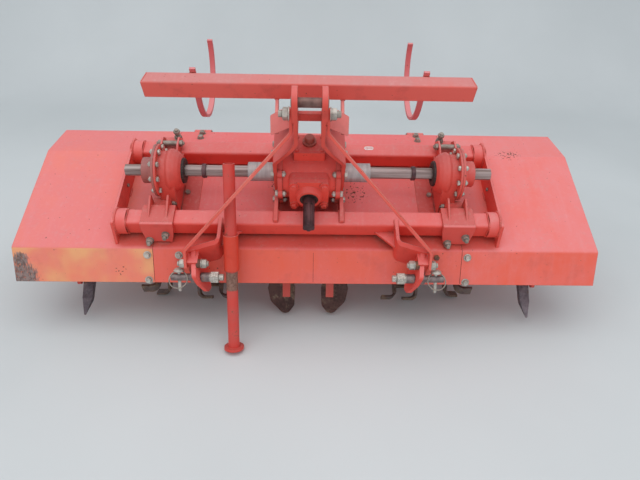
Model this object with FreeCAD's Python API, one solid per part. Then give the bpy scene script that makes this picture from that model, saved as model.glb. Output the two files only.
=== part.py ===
"""A tractor-mounted rotavator with two rotor heads, parked nose down on its leg.

Every piece is drawn in the machine's own level frame: x to the right, y to the
rear, z up from the top of the hood's deck, with the fold of the front lip at
y = 0. The finished pieces are then leaned forward by NOSE_DOWN and set on the
ground, which is how the machine stands when it is off the tractor.
Lengths are millimetres and angles are degrees.
"""
import FreeCAD
import Part
import math
import os

V = FreeCAD.Vector

# Posture
NOSE_DOWN = 26.4           # lean of the parked machine
RUN = 0.3                  # radial play where something turns or slides in a bore

# Hood of folded sheet
SHEET = 4.0
BEND = 9.0                 # outside radius of a fold
HOOD_HALF = 890.0          # centre line to the hood's end
CENTRE_HALF = 470.0        # centre line to the joint between centre and wing
LIP_LENGTH = 109.0
LIP_SLOPE = 48.6
DECK_LENGTH = 390.0
BEVEL_LENGTH = 165.0
BEVEL_SLOPE = 20.4
END_SKIRT = 92.0           # depth of the hood's end plates below the deck

# Frame of two square tubes between side plates
TUBE = 55.0
TUBE_WALL = 5.0
TUBE_CORNER = 8.0
TUBE_LIFT = 12.0           # underside of the tubes above the deck
TUBE_TOP = TUBE_LIFT + TUBE
FRONT_TUBE_Y = 44.0        # front face of each tube
REAR_TUBE_Y = 324.0
SIDE_X = 583.0             # outer face of the side plates
SIDE_THICK = 8.0
SIDE_FRONT_Y = 13.0
SIDE_FRONT_SLANT = 27.0    # how far the front edge leans back
SIDE_FRONT_HEIGHT = 75.0
SIDE_REAR_HEIGHT = 69.0
COLLAR_OUTER = 78.0
COLLAR_LENGTH = 32.0

# Cross shaft of hexagon bar, and its sleeves
SHAFT_Y = 212.0
SHAFT_Z = 111.0
HEX_FLATS = 32.0
HEX_HALF = 559.0
SLEEVE_OUTER = 58.0
SLEEVE_LENGTH = 78.0

# Centre gearbox
DRUM_RADIUS = 78.0
DRUM_HALF = 79.0
COVER_THICK = 14.0
COVER_RADIUS = 86.0
NOSE_HALF = 59.0           # half side of the square input flange
NOSE_THICK = 16.0
NOSE_FRONT_Y = 122.0
CORNER_BOSS = 28.0         # diameter of the bosses in the flange's corners
CORNER_BOSS_AT = 45.0
CORNER_BOSS_RISE = 5.0
BOSS_OUTER = 70.0
BOSS_SPREAD = 12.0         # how much wider the boss is at its root
BOSS_LENGTH = 18.0
SEAL_OUTER = 54.0
SEAL_DEPTH = 5.0
TOP_HALF = 46.0
TOP_HEIGHT = 220.0
TOP_FRONT_Y = 190.0
TOP_REAR_Y = 262.0
CAP_OUTER = 40.0
CAP_Y = 232.0
CAP_RIM = 7.0
CAP_DOME = 28.0
CAP_HEIGHT = 24.0
STUB_OUTER = 34.9
STUB_LENGTH = 101.0
STUB_INSIDE = 60.0
SPLINES = 6
SPLINE_WIDTH = 8.7
SPLINE_ROOT = 29.6
SPLINE_LENGTH = 78.0

# Mast
MAST_PLATE = 11.0
MAST_FOOT_X = DRUM_HALF + COVER_THICK + MAST_PLATE / 2
MAST_EAR_X = 36.0
MAST_EAR_FACE = MAST_EAR_X + MAST_PLATE / 2
MAST_KNEE_Z = 222.0        # where the side plates lean inwards
MAST_SHOULDER_Z = 318.0    # where they stand upright again
MAST_WAIST_Y = 150.0       # front edge above the feet
MAST_TOE_Z = 92.0          # top of the low toe in front of that edge
MAST_BACK_Y = 236.0        # rear edge where the wing plates meet it
TOP_PIN_Y = 162.0
TOP_PIN_Z = 434.0
TOP_PIN_D = 25.4
TOP_PIN_END_D = 20.0       # its turned-down ends in the ears
TOP_PIN_PROUD = 3.0
EAR_RADIUS = 37.0
EAR_TOP_Z = 476.0
EAR_LOW_Z = 372.0          # lowest point of the round doubling plate
EAR_DOUBLER = 4.0
BRIDGE_Y = 176.0
BRIDGE_THICK = 12.0
BRIDGE_Z = 358.0
BRIDGE_TALL = 25.0

# Cross bar with its hooks
BAR_HALF = 452.0
BAR_TALL = 54.0
BAR_DEEP = 42.0
BAR_WALL = 4.0
BAR_BEVEL = 10.0           # how much shorter the bar is at its back
BAR_FRONT_Y = 269.0
BAR_TOP_Z = 401.0
LUG_X = 91.0
LUG_THICK = 8.0
WING_PLATE = 8.0
WING_Y = 191.0             # lower edge of the leaning wing plates
WING_Z = 288.0
WING_LEAN = 35.0
WING_OUTER_X = 108.0
WING_HEIGHT = 70.0         # measured up its face
WING_SIDE = 54.0           # height of its outer edge
WING_SHOULDER = 42.0       # from the ear to where its top edge turns down
LUG_DROP = 40.0            # below the bar
HOOK_X = 318.0
HOOK_WIDTH = 16.0
HOOK_THICK = 8.0
HOOK_RADIUS = 136.0        # to the middle of the flat
HOOK_TOP_Z = 411.0
HOOK_BOTTOM_Z = 163.0
HOOK_END_Z = 303.0

# Lower link brackets
LINK_Y = -88.0
LINK_Z = -18.0
LINK_SHOULDER_X = 341.5    # half of the 683 mm between the shoulders
LINK_PIN_D = 22.0
LINK_COLLAR = 4.0
LINK_COLLAR_D = 32.0
LINK_PIN_REACH = 58.0      # free length outside the collar
LINK_THREAD_D = 20.0
LINK_NUT_FLATS = 32.0
LINK_NUT_THICK = 22.0
LINK_NUT_X = 286.0         # nut's seat on the spacer inside the lug
LINK_SPACER_D = 28.0
LINK_THREAD_END_X = 250.0
LUG_PLATE = 13.0
LUG_FACE_X = 328.0         # outer face of the slanting lug at the pin
LUG_SLANT = 0.26           # how fast the lug leans outwards as it rises
LUG_NOSE = 25.0            # lug in front of the pin
LUG_FOOT_Z = -89.0
STEP_X = 262.0             # plate that runs forward from the front tube
STEP_THICK = 10.0
STEP_REAR_Y = 66.0         # its rear end, on top of the tube
STEP_TOP_Z = 72.0
WEB_BEND_Y = -15.0         # where that plate turns outwards
WEB_END_Y = -33.0
WEB_TOP_Z = 46.0           # its top at the outer end
GUSSET_REACH = 62.0
BLOCK_FRONT_Y = -70.0      # spacer block between lug and brace
BLOCK_REAR_Y = -18.0
BLOCK_LOW_Z = -26.0
BLOCK_TOP_Z = 34.0
BRACE_X = 352.0            # inner face of the brace's foot
BRACE_FOOT_Y = -68.0
BRACE_FOOT_Z = 18.0
BRACE_WIDTH = 24.0
BRACE_THICK = 8.0
BRACE_TOP_Y = 163.0
BRACE_TOP_Z = 359.0
BRACE_END = 42.0           # flat end above the upper bend

# Parking leg
LEG_X = -226.0
LEG_STANDOFF = 50.0        # leg's axis in front of the lip
LEG_OUTER = 34.0
LEG_WALL = 4.0
LEG_LENGTH = 568.0
FOOT_OUTER = 60.0
FOOT_THICK = 8.0
LEG_SLEEVE_OUTER = 44.0
LEG_SLEEVE_LENGTH = 106.0
LEG_SLEEVE_TOP = -56.0     # along the lip from its fold
LEG_WEB = 8.0

# Rotor heads
HEAD_X = 428.0             # middle of the drive case
CASE_WIDTH = 46.0
CASE_TOP_RADIUS = 60.0
CASE_LOW_RADIUS = 50.0
NECK_OUTER = 118.0
BELL_OUTER = 132.0
BELL_SMALL = 82.0
BELL_INNER_X = 385.0
BELL_REACH = 35.0          # from there to where the bell is widest
BELL_WIDE_X = BELL_INNER_X + BELL_REACH
NECK_LENGTH = 36.0
FLANGE_OUTER = 160.0
FLANGE_THICK = 7.0
JOINT_X = BELL_WIDE_X + NECK_LENGTH   # face where the outer cover is bolted on
COVER_DOME = 122.0
COVER_SLOPE = 20.0         # length of its conical part
END_CAP_OUTER = 79.0
COVER_DEPTH = 47.0
END_CAP_X = JOINT_X + COVER_DEPTH
RIB_THICK = 6.0
RIB_SPREAD = 53.0
RIB_TOP_Y = 129.0
RIB_TOP_Z = 100.0
SADDLE_HALF = 48.0
SADDLE_X = 449.0
SADDLE_THICK = 8.0
FOOT_LOW_Z = 18.0          # cast foot between the ribs
FOOT_TOP_Z = 60.0
FOOT_REAR_Y = 146.0
CLAMP_TOE = 16.0           # how far the clamp's lower edge stands forward
CLAMP_TAPER = 11.0         # how much narrower it is there, at each end
REAR_RIB_SPREAD = 52.0
REAR_RIB_THICK = 6.0
REAR_RIB_RISE = 34.0
REAR_RIB_FRONT = 40.0      # how far the ribs reach in front of the tube
REAR_STRAP_HALF = 29.0

# Rotors
ROTOR_Y = 125.0
ROTOR_Z = -188.0
ROTOR_RADIUS = 176.0
ROTOR_TUBE = 70.0
AXLE_D = 44.0
DISC_RADIUS = 82.0
DISC_THICK = 8.0
BLADES = 6
BLADE_THICK = 8.0
BLADE_WIDTH = 42.0
BLADE_SHOULDER = 102.0     # radius where a blade starts to narrow
BLADE_TIP = 32.0           # width of the foot along the turn
BLADE_FOOT = 46.0
BLADE_BEND = 20.0
ROTOR_INNER = 168.0        # ends of the rotor from the middle of its case
ROTOR_OUTER = 118.0
CASE_GAP = 10.0            # from the case to the rotor's tubes
# columns: middle of the disc from the middle of the case, sides to which its feet turn by turns
DISCS = ((-128.0, (1, -1)), (-46.0, (-1, -1)), (52.0, (1, 1)))

# Tines near the hood's ends
TINE_INSET = 170.0
TINE_X = HOOD_HALF - TINE_INSET
TINE_WIDTH = 31.0
TINE_POINT = 6.0
TINE_SHANK = 12.0
TINE_HEAD_Z = -130.0
TINE_HEEL_Z = -200.0
TINE_TIP_Y = -118.0
TINE_TIP_Z = -221.0
TINE_NARROW_Y = -64.0      # where the sides start to close in
SHANK_DEPTH = 186.0
SHANK_WIDTH = 60.0

# Shares beside the centre line
SHARE_X = 88.0
SHARE_SHANK_X = 71.0
SHARE_SHANK_WIDTH = 25.0
SHARE_SHANK = 12.0
SHARE_SHANK_Y = 36.0
SHARE_SHANK_BEND_Z = -104.0
SHARE_TIP_Y = -95.0
SHARE_TIP_Z = -270.0
SHARE_RAKE = 50.0          # slope of the blade below the level
SHARE_HALF = 45.0
SHARE_LENGTH = 130.0
SHARE_BARE = 75.0          # blade below the end of its shank
SHARE_THICK = 8.0

# Trailing board
BOARD_HALF = 850.0
BOARD_TOP = 20.0           # sheet starts below the hinge pins
BOARD_LENGTH = 250.0
BOARD_SHEET = 4.0
HINGE_X = 395.0
HINGE_PIN_D = 12.0
HINGE_EYE_D = 24.0
HINGE_STRAP = 6.0
HINGE_WIDTH = 60.0
HINGE_REACH = 20.0         # pin behind the hood's rear edge
HINGE_DROP = 14.0          # pin below the bevel's face
TONGUE_LENGTH = 90.0
LEAF_LENGTH = 70.0


def direction(angle):
    """Unit (y, z) pair at an angle above the rearward direction."""
    return math.cos(math.radians(angle)), math.sin(math.radians(angle))


# Side view of the hood: fold points of its outer face
lip_run, lip_drop = direction(LIP_SLOPE)
bevel_run, bevel_drop = direction(BEVEL_SLOPE)
LIP_EDGE = (-LIP_LENGTH * lip_run, -LIP_LENGTH * lip_drop)
REAR_EDGE = (DECK_LENGTH + BEVEL_LENGTH * bevel_run, -BEVEL_LENGTH * bevel_drop)
LEAN_SIN = math.sin(math.radians(NOSE_DOWN))
LEAN_COS = math.cos(math.radians(NOSE_DOWN))

# Ground line in the machine's frame: the rotor stands on two neighbouring blades
BLADE_ROWS = 3
ROW_STEP = 360.0 / (BLADES * BLADE_ROWS)
CORNER_RADIUS = math.hypot(ROTOR_RADIUS, BLADE_TIP / 2)
CORNER_ANGLE = math.atan2(BLADE_TIP / 2, ROTOR_RADIUS)
AXLE_HEIGHT = CORNER_RADIUS * math.cos(math.radians(ROW_STEP / 2) - CORNER_ANGLE)


def height(y, z):
    """Height above the ground of a point of the side view."""
    return AXLE_HEIGHT + (y - ROTOR_Y) * LEAN_SIN + (z - ROTOR_Z) * LEAN_COS


def box(x, y, z):
    """Block between pairs of limits."""
    return Part.makeBox(x[1] - x[0], y[1] - y[0], z[1] - z[0], V(x[0], y[0], z[0]))


def rod(x, y, z, diameter):
    """Round bar along x between a pair of limits."""
    return Part.makeCylinder(diameter / 2, x[1] - x[0], V(x[0], y, z), V(1, 0, 0))


def face_of(points):
    """Flat face inside a closed run of (vector, corner radius) points."""
    count = len(points)
    spots = []
    for i, (p, radius) in enumerate(points):
        if radius <= 0:
            spots.append((p, None, p))
            continue
        before = (points[i - 1][0] - p).normalize()
        after = (points[(i + 1) % count][0] - p).normalize()
        half = math.acos(max(-1.0, min(1.0, before.dot(after)))) / 2
        setback = radius / math.tan(half)
        middle = p + (before + after).normalize() * (radius / math.sin(half) - radius)
        spots.append((p + before * setback, middle, p + after * setback))
    edges = []
    for i, (start, middle, end) in enumerate(spots):
        if middle is not None:
            edges.append(Part.Arc(start, middle, end).toShape())
        following = spots[(i + 1) % count][0]
        if (following - end).Length > 1e-6:
            edges.append(Part.LineSegment(end, following).toShape())
    return Part.Face(Part.Wire(Part.__sortEdges__(edges)))


def side_plate(outline, x):
    """Plate whose (y, z, corner radius) outline is cut from x[0] to x[1]."""
    points = [(V(x[0], y, z), radius) for y, z, radius in outline]
    return face_of(points).extrude(V(x[1] - x[0], 0, 0))


def front_plate(outline, y):
    """Plate whose (x, z, corner radius) outline is cut from y[0] to y[1]."""
    points = [(V(x, y[0], z), radius) for x, z, radius in outline]
    return face_of(points).extrude(V(0, y[1] - y[0], 0))


def level_plate(outline, z):
    """Plate whose (x, y, corner radius) outline is cut from z[0] to z[1]."""
    points = [(V(x, y, z[0]), radius) for x, y, radius in outline]
    return face_of(points).extrude(V(0, 0, z[1] - z[0]))


def strip(path, thickness, sweep):
    """Bent flat: a run of (vector, bend radius) points made thick in its own plane
    and extruded along the vector sweep. The radius is that of the middle of the flat."""
    normal = V(sweep).normalize()
    points = [p for p, _ in path]
    sides = {1: [], -1: []}
    for i, (p, radius) in enumerate(path):
        legs = []
        if i > 0:
            legs.append((p - points[i - 1]).normalize())
        if i < len(path) - 1:
            legs.append((points[i + 1] - p).normalize())
        across = [leg.cross(normal) for leg in legs]
        if len(across) == 1:
            mitre = across[0]
            turn = 0.0
        else:
            mitre = (across[0] + across[1]).normalize()
            mitre = mitre * (1.0 / mitre.dot(across[0]))
            turn = legs[0].dot(across[1])
        for side in sides:
            shift = side * thickness / 2
            bend = radius - side * thickness / 2 * math.copysign(1.0, -turn) if radius > 0 else 0.0
            sides[side].append((p + mitre * shift, max(bend, 0.0)))
    outline = sides[1] + sides[-1][::-1]
    return face_of(outline).extrude(sweep)


def joined(pieces):
    """Welded pieces as one solid."""
    whole = pieces[0].fuse(pieces[1:]) if len(pieces) > 1 else pieces[0]
    return whole.removeSplitter()


def mirrored(shape):
    """The same piece on the other side of the machine."""
    return shape.mirror(V(0, 0, 0), V(1, 0, 0))


def along_lip(distance, standoff):
    """(y, z) of a point down the lip from its fold and out from its face."""
    return (-distance * lip_run - standoff * lip_drop, -distance * lip_drop + standoff * lip_run)


parts = {}


def add_pair(name, shape):
    """Right-hand piece and its mirror image on the left."""
    parts[name + "_right"] = shape
    parts[name + "_left"] = mirrored(shape)


def hood_sheet(x):
    """Folded section of the hood, from lip to rear edge."""
    half = SHEET / 2
    middle = BEND - half
    lip_down = V(0, -lip_run, -lip_drop)
    rear_down = V(0, bevel_run, -bevel_drop)
    lip_turn = math.tan(math.radians(LIP_SLOPE / 2)) * half
    bevel_turn = math.tan(math.radians(BEVEL_SLOPE / 2)) * half
    front_fold = V(x[0], lip_turn, -half)
    rear_fold = V(x[0], DECK_LENGTH - bevel_turn, -half)
    path = [
        (front_fold + lip_down * (LIP_LENGTH - lip_turn), 0),
        (front_fold, middle),
        (rear_fold, middle),
        (rear_fold + rear_down * (BEVEL_LENGTH - bevel_turn), 0),
    ]
    return strip(path, SHEET, V(x[1] - x[0], 0, 0))


def make_hood():
    """Centre panel with a slot for each drive case, and the two bolted-on wings."""
    centre = hood_sheet((-CENTRE_HALF, CENTRE_HALF))
    play = 2.0
    neck_y = ROTOR_Y - ROTOR_Z * (SHAFT_Y - ROTOR_Y) / (SHAFT_Z - ROTOR_Z)
    slot_front = neck_y - 1.04 * CASE_TOP_RADIUS - play
    slot_rear = neck_y + 1.04 * CASE_TOP_RADIUS + play
    for side in (-1, 1):
        edges = sorted((side * (HEAD_X - CASE_WIDTH / 2 - play), side * (HEAD_X + CASE_WIDTH / 2 + play)))
        centre = centre.cut(box(edges, (slot_front, slot_rear), (-3 * SHEET, SHEET)))
    parts["hood_centre"] = centre
    wing = hood_sheet((CENTRE_HALF, HOOD_HALF))
    skirt = side_plate([
        (SHEET, -SHEET, 0),
        (DECK_LENGTH - SHEET, -SHEET, 0),
        (REAR_EDGE[0] - 2 * SHEET, REAR_EDGE[1] - SHEET, 0),
        (DECK_LENGTH - SHEET, -END_SKIRT, 40.0),
        (LIP_EDGE[0] + 3 * SHEET, LIP_EDGE[1] - SHEET, 0),
    ], (HOOD_HALF - SHEET, HOOD_HALF))
    add_pair("hood_wing", joined([wing, skirt]))


def box_tube(deep, tall, wall, corner, x, y, z):
    """Rectangular tube along x with its low front corner line at (y, z)."""
    outer = side_plate([(y, z, corner), (y + deep, z, corner), (y + deep, z + tall, corner),
                        (y, z + tall, corner)], x)
    inner_corner = max(corner - wall, 1.0)
    front, back = y + wall, y + deep - wall
    floor, roof = z + wall, z + tall - wall
    inner = side_plate([(front, floor, inner_corner), (back, floor, inner_corner),
                        (back, roof, inner_corner), (front, roof, inner_corner)], x)
    return outer.cut(inner)


def make_frame():
    """Two tubes between side plates, their ends in round collars."""
    reach = SIDE_X - SIDE_THICK
    side = side_plate([
        (SIDE_FRONT_Y, 0, 0),
        (DECK_LENGTH, 0, 0),
        (DECK_LENGTH, SIDE_REAR_HEIGHT, 6.0),
        (SIDE_FRONT_Y + SIDE_FRONT_SLANT, SIDE_FRONT_HEIGHT, 6.0),
    ], (reach, SIDE_X))
    collars = []
    for name, front in (("front_tube", FRONT_TUBE_Y), ("rear_tube", REAR_TUBE_Y)):
        parts[name] = box_tube(TUBE, TUBE, TUBE_WALL, TUBE_CORNER, (-reach, reach), front, TUBE_LIFT)
        y = front + TUBE / 2
        z = TUBE_LIFT + TUBE / 2
        diagonal = TUBE * math.sqrt(2) - 2 * TUBE_CORNER * (math.sqrt(2) - 1)
        ring = rod((reach - COLLAR_LENGTH, reach), y, z, COLLAR_OUTER)
        collars.append(ring.cut(rod((reach - COLLAR_LENGTH, reach), y, z, diagonal + RUN)))
    add_pair("side_plate", joined([side] + collars))


def hexagon(flats, x, y, z):
    """Hexagon bar along x with two flats level."""
    radius = flats / math.sqrt(3)
    points = []
    for i in range(6):
        angle = math.radians(60 * i)
        points.append((V(x[0], y + radius * math.cos(angle), z + radius * math.sin(angle)), 0))
    return face_of(points).extrude(V(x[1] - x[0], 0, 0))


def along_drive(diameter, y):
    """Round bar along the input shaft's axis between a pair of limits."""
    return Part.makeCylinder(diameter / 2, y[1] - y[0], V(0, y[0], SHAFT_Z), V(0, 1, 0))


def make_gearbox():
    """Centre case that turns the tractor's drive across the machine."""
    hex_bore = 2 * (HEX_FLATS / math.sqrt(3) + RUN)
    bore = rod((-HEX_HALF, HEX_HALF), SHAFT_Y, SHAFT_Z, hex_bore)
    drum = rod((-DRUM_HALF, DRUM_HALF), SHAFT_Y, SHAFT_Z, 2 * DRUM_RADIUS)
    square = [
        (-NOSE_HALF, SHAFT_Z - NOSE_HALF, 12.0), (NOSE_HALF, SHAFT_Z - NOSE_HALF, 12.0),
        (NOSE_HALF, SHAFT_Z + NOSE_HALF, 12.0), (-NOSE_HALF, SHAFT_Z + NOSE_HALF, 12.0),
    ]
    nose_block = front_plate(square, (NOSE_FRONT_Y + NOSE_THICK, SHAFT_Y))
    top = level_plate([
        (-TOP_HALF, TOP_FRONT_Y, 5.0), (TOP_HALF, TOP_FRONT_Y, 5.0),
        (TOP_HALF, TOP_REAR_Y, 5.0), (-TOP_HALF, TOP_REAR_Y, 5.0),
    ], (SHAFT_Z, TOP_HEIGHT))
    stub_run = STUB_OUTER + 2 * RUN
    inside = along_drive(stub_run, (0, NOSE_FRONT_Y + STUB_INSIDE))
    flange = [front_plate(square, (NOSE_FRONT_Y, NOSE_FRONT_Y + NOSE_THICK))]
    parts["gearbox_case"] = joined([drum, nose_block, top]).cut(flange).cut(bore).cut(inside)

    boss_front = NOSE_FRONT_Y - BOSS_LENGTH
    flange.append(Part.makeCone(BOSS_OUTER / 2, (BOSS_OUTER + BOSS_SPREAD) / 2, BOSS_LENGTH,
                                V(0, boss_front, SHAFT_Z), V(0, 1, 0)))
    for x in (-CORNER_BOSS_AT, CORNER_BOSS_AT):
        for z in (SHAFT_Z - CORNER_BOSS_AT, SHAFT_Z + CORNER_BOSS_AT):
            flange.append(Part.makeCylinder(CORNER_BOSS / 2, CORNER_BOSS_RISE + NOSE_THICK,
                                            V(x, NOSE_FRONT_Y - CORNER_BOSS_RISE, z), V(0, 1, 0)))
    recess = along_drive(SEAL_OUTER, (boss_front, boss_front + SEAL_DEPTH))
    stub_hole = along_drive(stub_run, (0, SHAFT_Y))
    parts["input_flange"] = joined(flange).cut(recess).cut(stub_hole)

    cover = rod((DRUM_HALF, DRUM_HALF + COVER_THICK), SHAFT_Y, SHAFT_Z, 2 * COVER_RADIUS)
    add_pair("gearbox_cover", cover.cut(bore))
    cap = Part.makeCylinder(CAP_OUTER / 2, CAP_RIM, V(0, CAP_Y, TOP_HEIGHT))
    dome = Part.makeCylinder(CAP_DOME / 2, CAP_HEIGHT, V(0, CAP_Y, TOP_HEIGHT))
    dome = dome.makeFillet(4.0, [dome.Edges[0]])
    parts["filler_cap"] = joined([cap, dome])

    shaft = hexagon(HEX_FLATS, (-HEX_HALF, HEX_HALF), SHAFT_Y, SHAFT_Z)
    parts["hex_shaft"] = shaft
    start = MAST_FOOT_X + MAST_PLATE / 2 + 4.0
    sleeve = rod((start, start + SLEEVE_LENGTH), SHAFT_Y, SHAFT_Z, SLEEVE_OUTER)
    add_pair("shaft_sleeve", sleeve.cut(shaft))

    stub_start = boss_front - STUB_LENGTH
    spline_end = stub_start + SPLINE_LENGTH
    plain = along_drive(STUB_OUTER, (stub_start, NOSE_FRONT_Y + STUB_INSIDE))
    gullets = along_drive(2 * STUB_OUTER, (stub_start, spline_end))
    gullets = gullets.cut(along_drive(SPLINE_ROOT, (stub_start, spline_end)))
    for i in range(SPLINES):
        tooth = box((-SPLINE_WIDTH / 2, SPLINE_WIDTH / 2), (stub_start, spline_end),
                    (SHAFT_Z, SHAFT_Z + 2 * STUB_OUTER))
        tooth.rotate(V(0, 0, SHAFT_Z), V(0, 1, 0), i * 360.0 / SPLINES)
        gullets = gullets.cut(tooth)
    parts["input_shaft"] = plain.cut(gullets)


def make_mast():
    """Two bent side plates that hold the gearbox and end in the top link ears."""
    ear_front = TOP_PIN_Y - EAR_RADIUS
    ear_back = TOP_PIN_Y + EAR_RADIUS
    rear_face = REAR_TUBE_Y + TUBE
    path = [
        (V(MAST_FOOT_X, 0, 0), 0),
        (V(MAST_FOOT_X, 0, MAST_KNEE_Z), 18.0),
        (V(MAST_EAR_X, 0, MAST_SHOULDER_Z), 18.0),
        (V(MAST_EAR_X, 0, EAR_TOP_Z + EAR_RADIUS), 0),
    ]
    bent = strip(path, MAST_PLATE, V(0, rear_face, 0))
    outline = side_plate([
        (FRONT_TUBE_Y + 8.0, TUBE_TOP, 0),
        (FRONT_TUBE_Y + TUBE, TUBE_TOP, 0),
        (FRONT_TUBE_Y + TUBE, TUBE_LIFT, 0),
        (REAR_TUBE_Y, TUBE_LIFT, 0),
        (REAR_TUBE_Y, TUBE_TOP, 0),
        (rear_face - 10.0, TUBE_TOP, 0),
        (rear_face - 10.0, TUBE_TOP + 20.0, 10.0),
        (SHAFT_Y + 70.0, MAST_KNEE_Z, 60.0),
        (MAST_BACK_Y, WING_Z + 8.0, 30.0),
        (MAST_BACK_Y, BAR_TOP_Z - BAR_TALL - 12.0, 30.0),
        (ear_back, BRIDGE_Z, 30.0),
        (ear_back, EAR_TOP_Z, EAR_RADIUS * 0.999),
        (ear_front, EAR_TOP_Z, EAR_RADIUS * 0.999),
        (ear_front, MAST_SHOULDER_Z - 30.0, 60.0),
        (MAST_WAIST_Y, MAST_KNEE_Z - 30.0, 60.0),
        (MAST_WAIST_Y, MAST_TOE_Z, 14.0),
        (FRONT_TUBE_Y + 8.0, TUBE_TOP + 9.0, 6.0),
    ], (0, 2 * MAST_FOOT_X))
    doubler = side_plate([
        (ear_front, EAR_LOW_Z, EAR_RADIUS * 0.999), (ear_back, EAR_LOW_Z, EAR_RADIUS * 0.999),
        (ear_back, EAR_TOP_Z, EAR_RADIUS * 0.999), (ear_front, EAR_TOP_Z, EAR_RADIUS * 0.999),
    ], (MAST_EAR_FACE, MAST_EAR_FACE + EAR_DOUBLER))
    plate = joined([bent.common(outline), doubler])
    plate = plate.cut(rod((0, 2 * MAST_FOOT_X), TOP_PIN_Y, TOP_PIN_Z, TOP_PIN_END_D))
    plate = plate.cut(rod((0, 2 * MAST_FOOT_X), SHAFT_Y, SHAFT_Z, SLEEVE_OUTER))
    add_pair("mast_side", plate)
    gap = MAST_EAR_X - MAST_PLATE / 2
    parts["mast_bridge"] = box((-gap, gap), (BRIDGE_Y, BRIDGE_Y + BRIDGE_THICK),
                               (BRIDGE_Z, BRIDGE_Z + BRIDGE_TALL))
    pin_half = MAST_EAR_FACE + EAR_DOUBLER + TOP_PIN_PROUD
    parts["top_link_pin"] = joined([
        rod((-gap, gap), TOP_PIN_Y, TOP_PIN_Z, TOP_PIN_D),
        rod((-pin_half, pin_half), TOP_PIN_Y, TOP_PIN_Z, TOP_PIN_END_D),
    ])


def make_cross_bar():
    """Box tube behind the mast, its lugs and wing plates, and the two hooks."""
    low = BAR_TOP_Z - BAR_TALL
    bar_back_y = BAR_FRONT_Y + BAR_DEEP
    bar = box_tube(BAR_DEEP, BAR_TALL, BAR_WALL, 5.0, (-BAR_HALF, BAR_HALF), BAR_FRONT_Y, low)
    caps = []
    for x in ((-BAR_HALF, BAR_WALL + BAR_BEVEL - BAR_HALF), (BAR_HALF - BAR_WALL - BAR_BEVEL, BAR_HALF)):
        caps.append(box(x, (BAR_FRONT_Y + 2, bar_back_y - 2), (low + 2, BAR_TOP_Z - 2)))
    planform = level_plate([
        (-BAR_HALF, BAR_FRONT_Y, 0), (BAR_HALF, BAR_FRONT_Y, 0), (BAR_HALF - BAR_BEVEL, bar_back_y, 0),
        (BAR_BEVEL - BAR_HALF, bar_back_y, 0),
    ], (low, BAR_TOP_Z))
    parts["cross_bar"] = joined([bar] + caps).common(planform)

    # the wing plate leans back from its lower edge; rise is measured up its face
    lean_sin = math.sin(math.radians(WING_LEAN))
    lean_cos = math.cos(math.radians(WING_LEAN))
    wing = []
    for x, rise, radius in ((MAST_EAR_X + 8.0, 26.0, 0), (WING_OUTER_X, 0, 4.0), (WING_OUTER_X, WING_SIDE, 4.0),
                            (MAST_EAR_X + WING_SHOULDER, WING_HEIGHT, 4.0),
                            (MAST_EAR_X + 2.0, WING_HEIGHT - 4.0, 0)):
        wing.append((V(x, WING_Y + rise * lean_sin, WING_Z + rise * lean_cos), radius))
    wing = face_of(wing).extrude(V(0, lean_cos * WING_PLATE, -lean_sin * WING_PLATE))
    lug = side_plate([
        (WING_Y + WING_PLATE, WING_Z - 2.0, 0), (BAR_FRONT_Y, low - LUG_DROP, 20.0),
        (bar_back_y, low - 0.4 * LUG_DROP, 10.0), (bar_back_y, low, 0), (BAR_FRONT_Y, low, 0),
        (WING_Y + WING_HEIGHT * lean_sin, WING_Z + WING_HEIGHT * lean_cos - WING_PLATE, 0),
    ], (LUG_X - LUG_THICK / 2, LUG_X + LUG_THICK / 2))
    add_pair("bar_wing", joined([wing, lug]).cut(parts["mast_side_right"]).cut(parts["cross_bar"]))

    near = bar_back_y + HOOK_THICK / 2
    far = near + 2 * HOOK_RADIUS
    left = HOOK_X - HOOK_WIDTH / 2
    hook = strip([
        (V(left, near, HOOK_TOP_Z), 0),
        (V(left, near, HOOK_BOTTOM_Z), HOOK_RADIUS * 0.9999),
        (V(left, far, HOOK_BOTTOM_Z), HOOK_RADIUS * 0.9999),
        (V(left, far, HOOK_END_Z), 0),
    ], HOOK_THICK, V(HOOK_WIDTH, 0, 0))
    add_pair("hook", hook)


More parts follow.
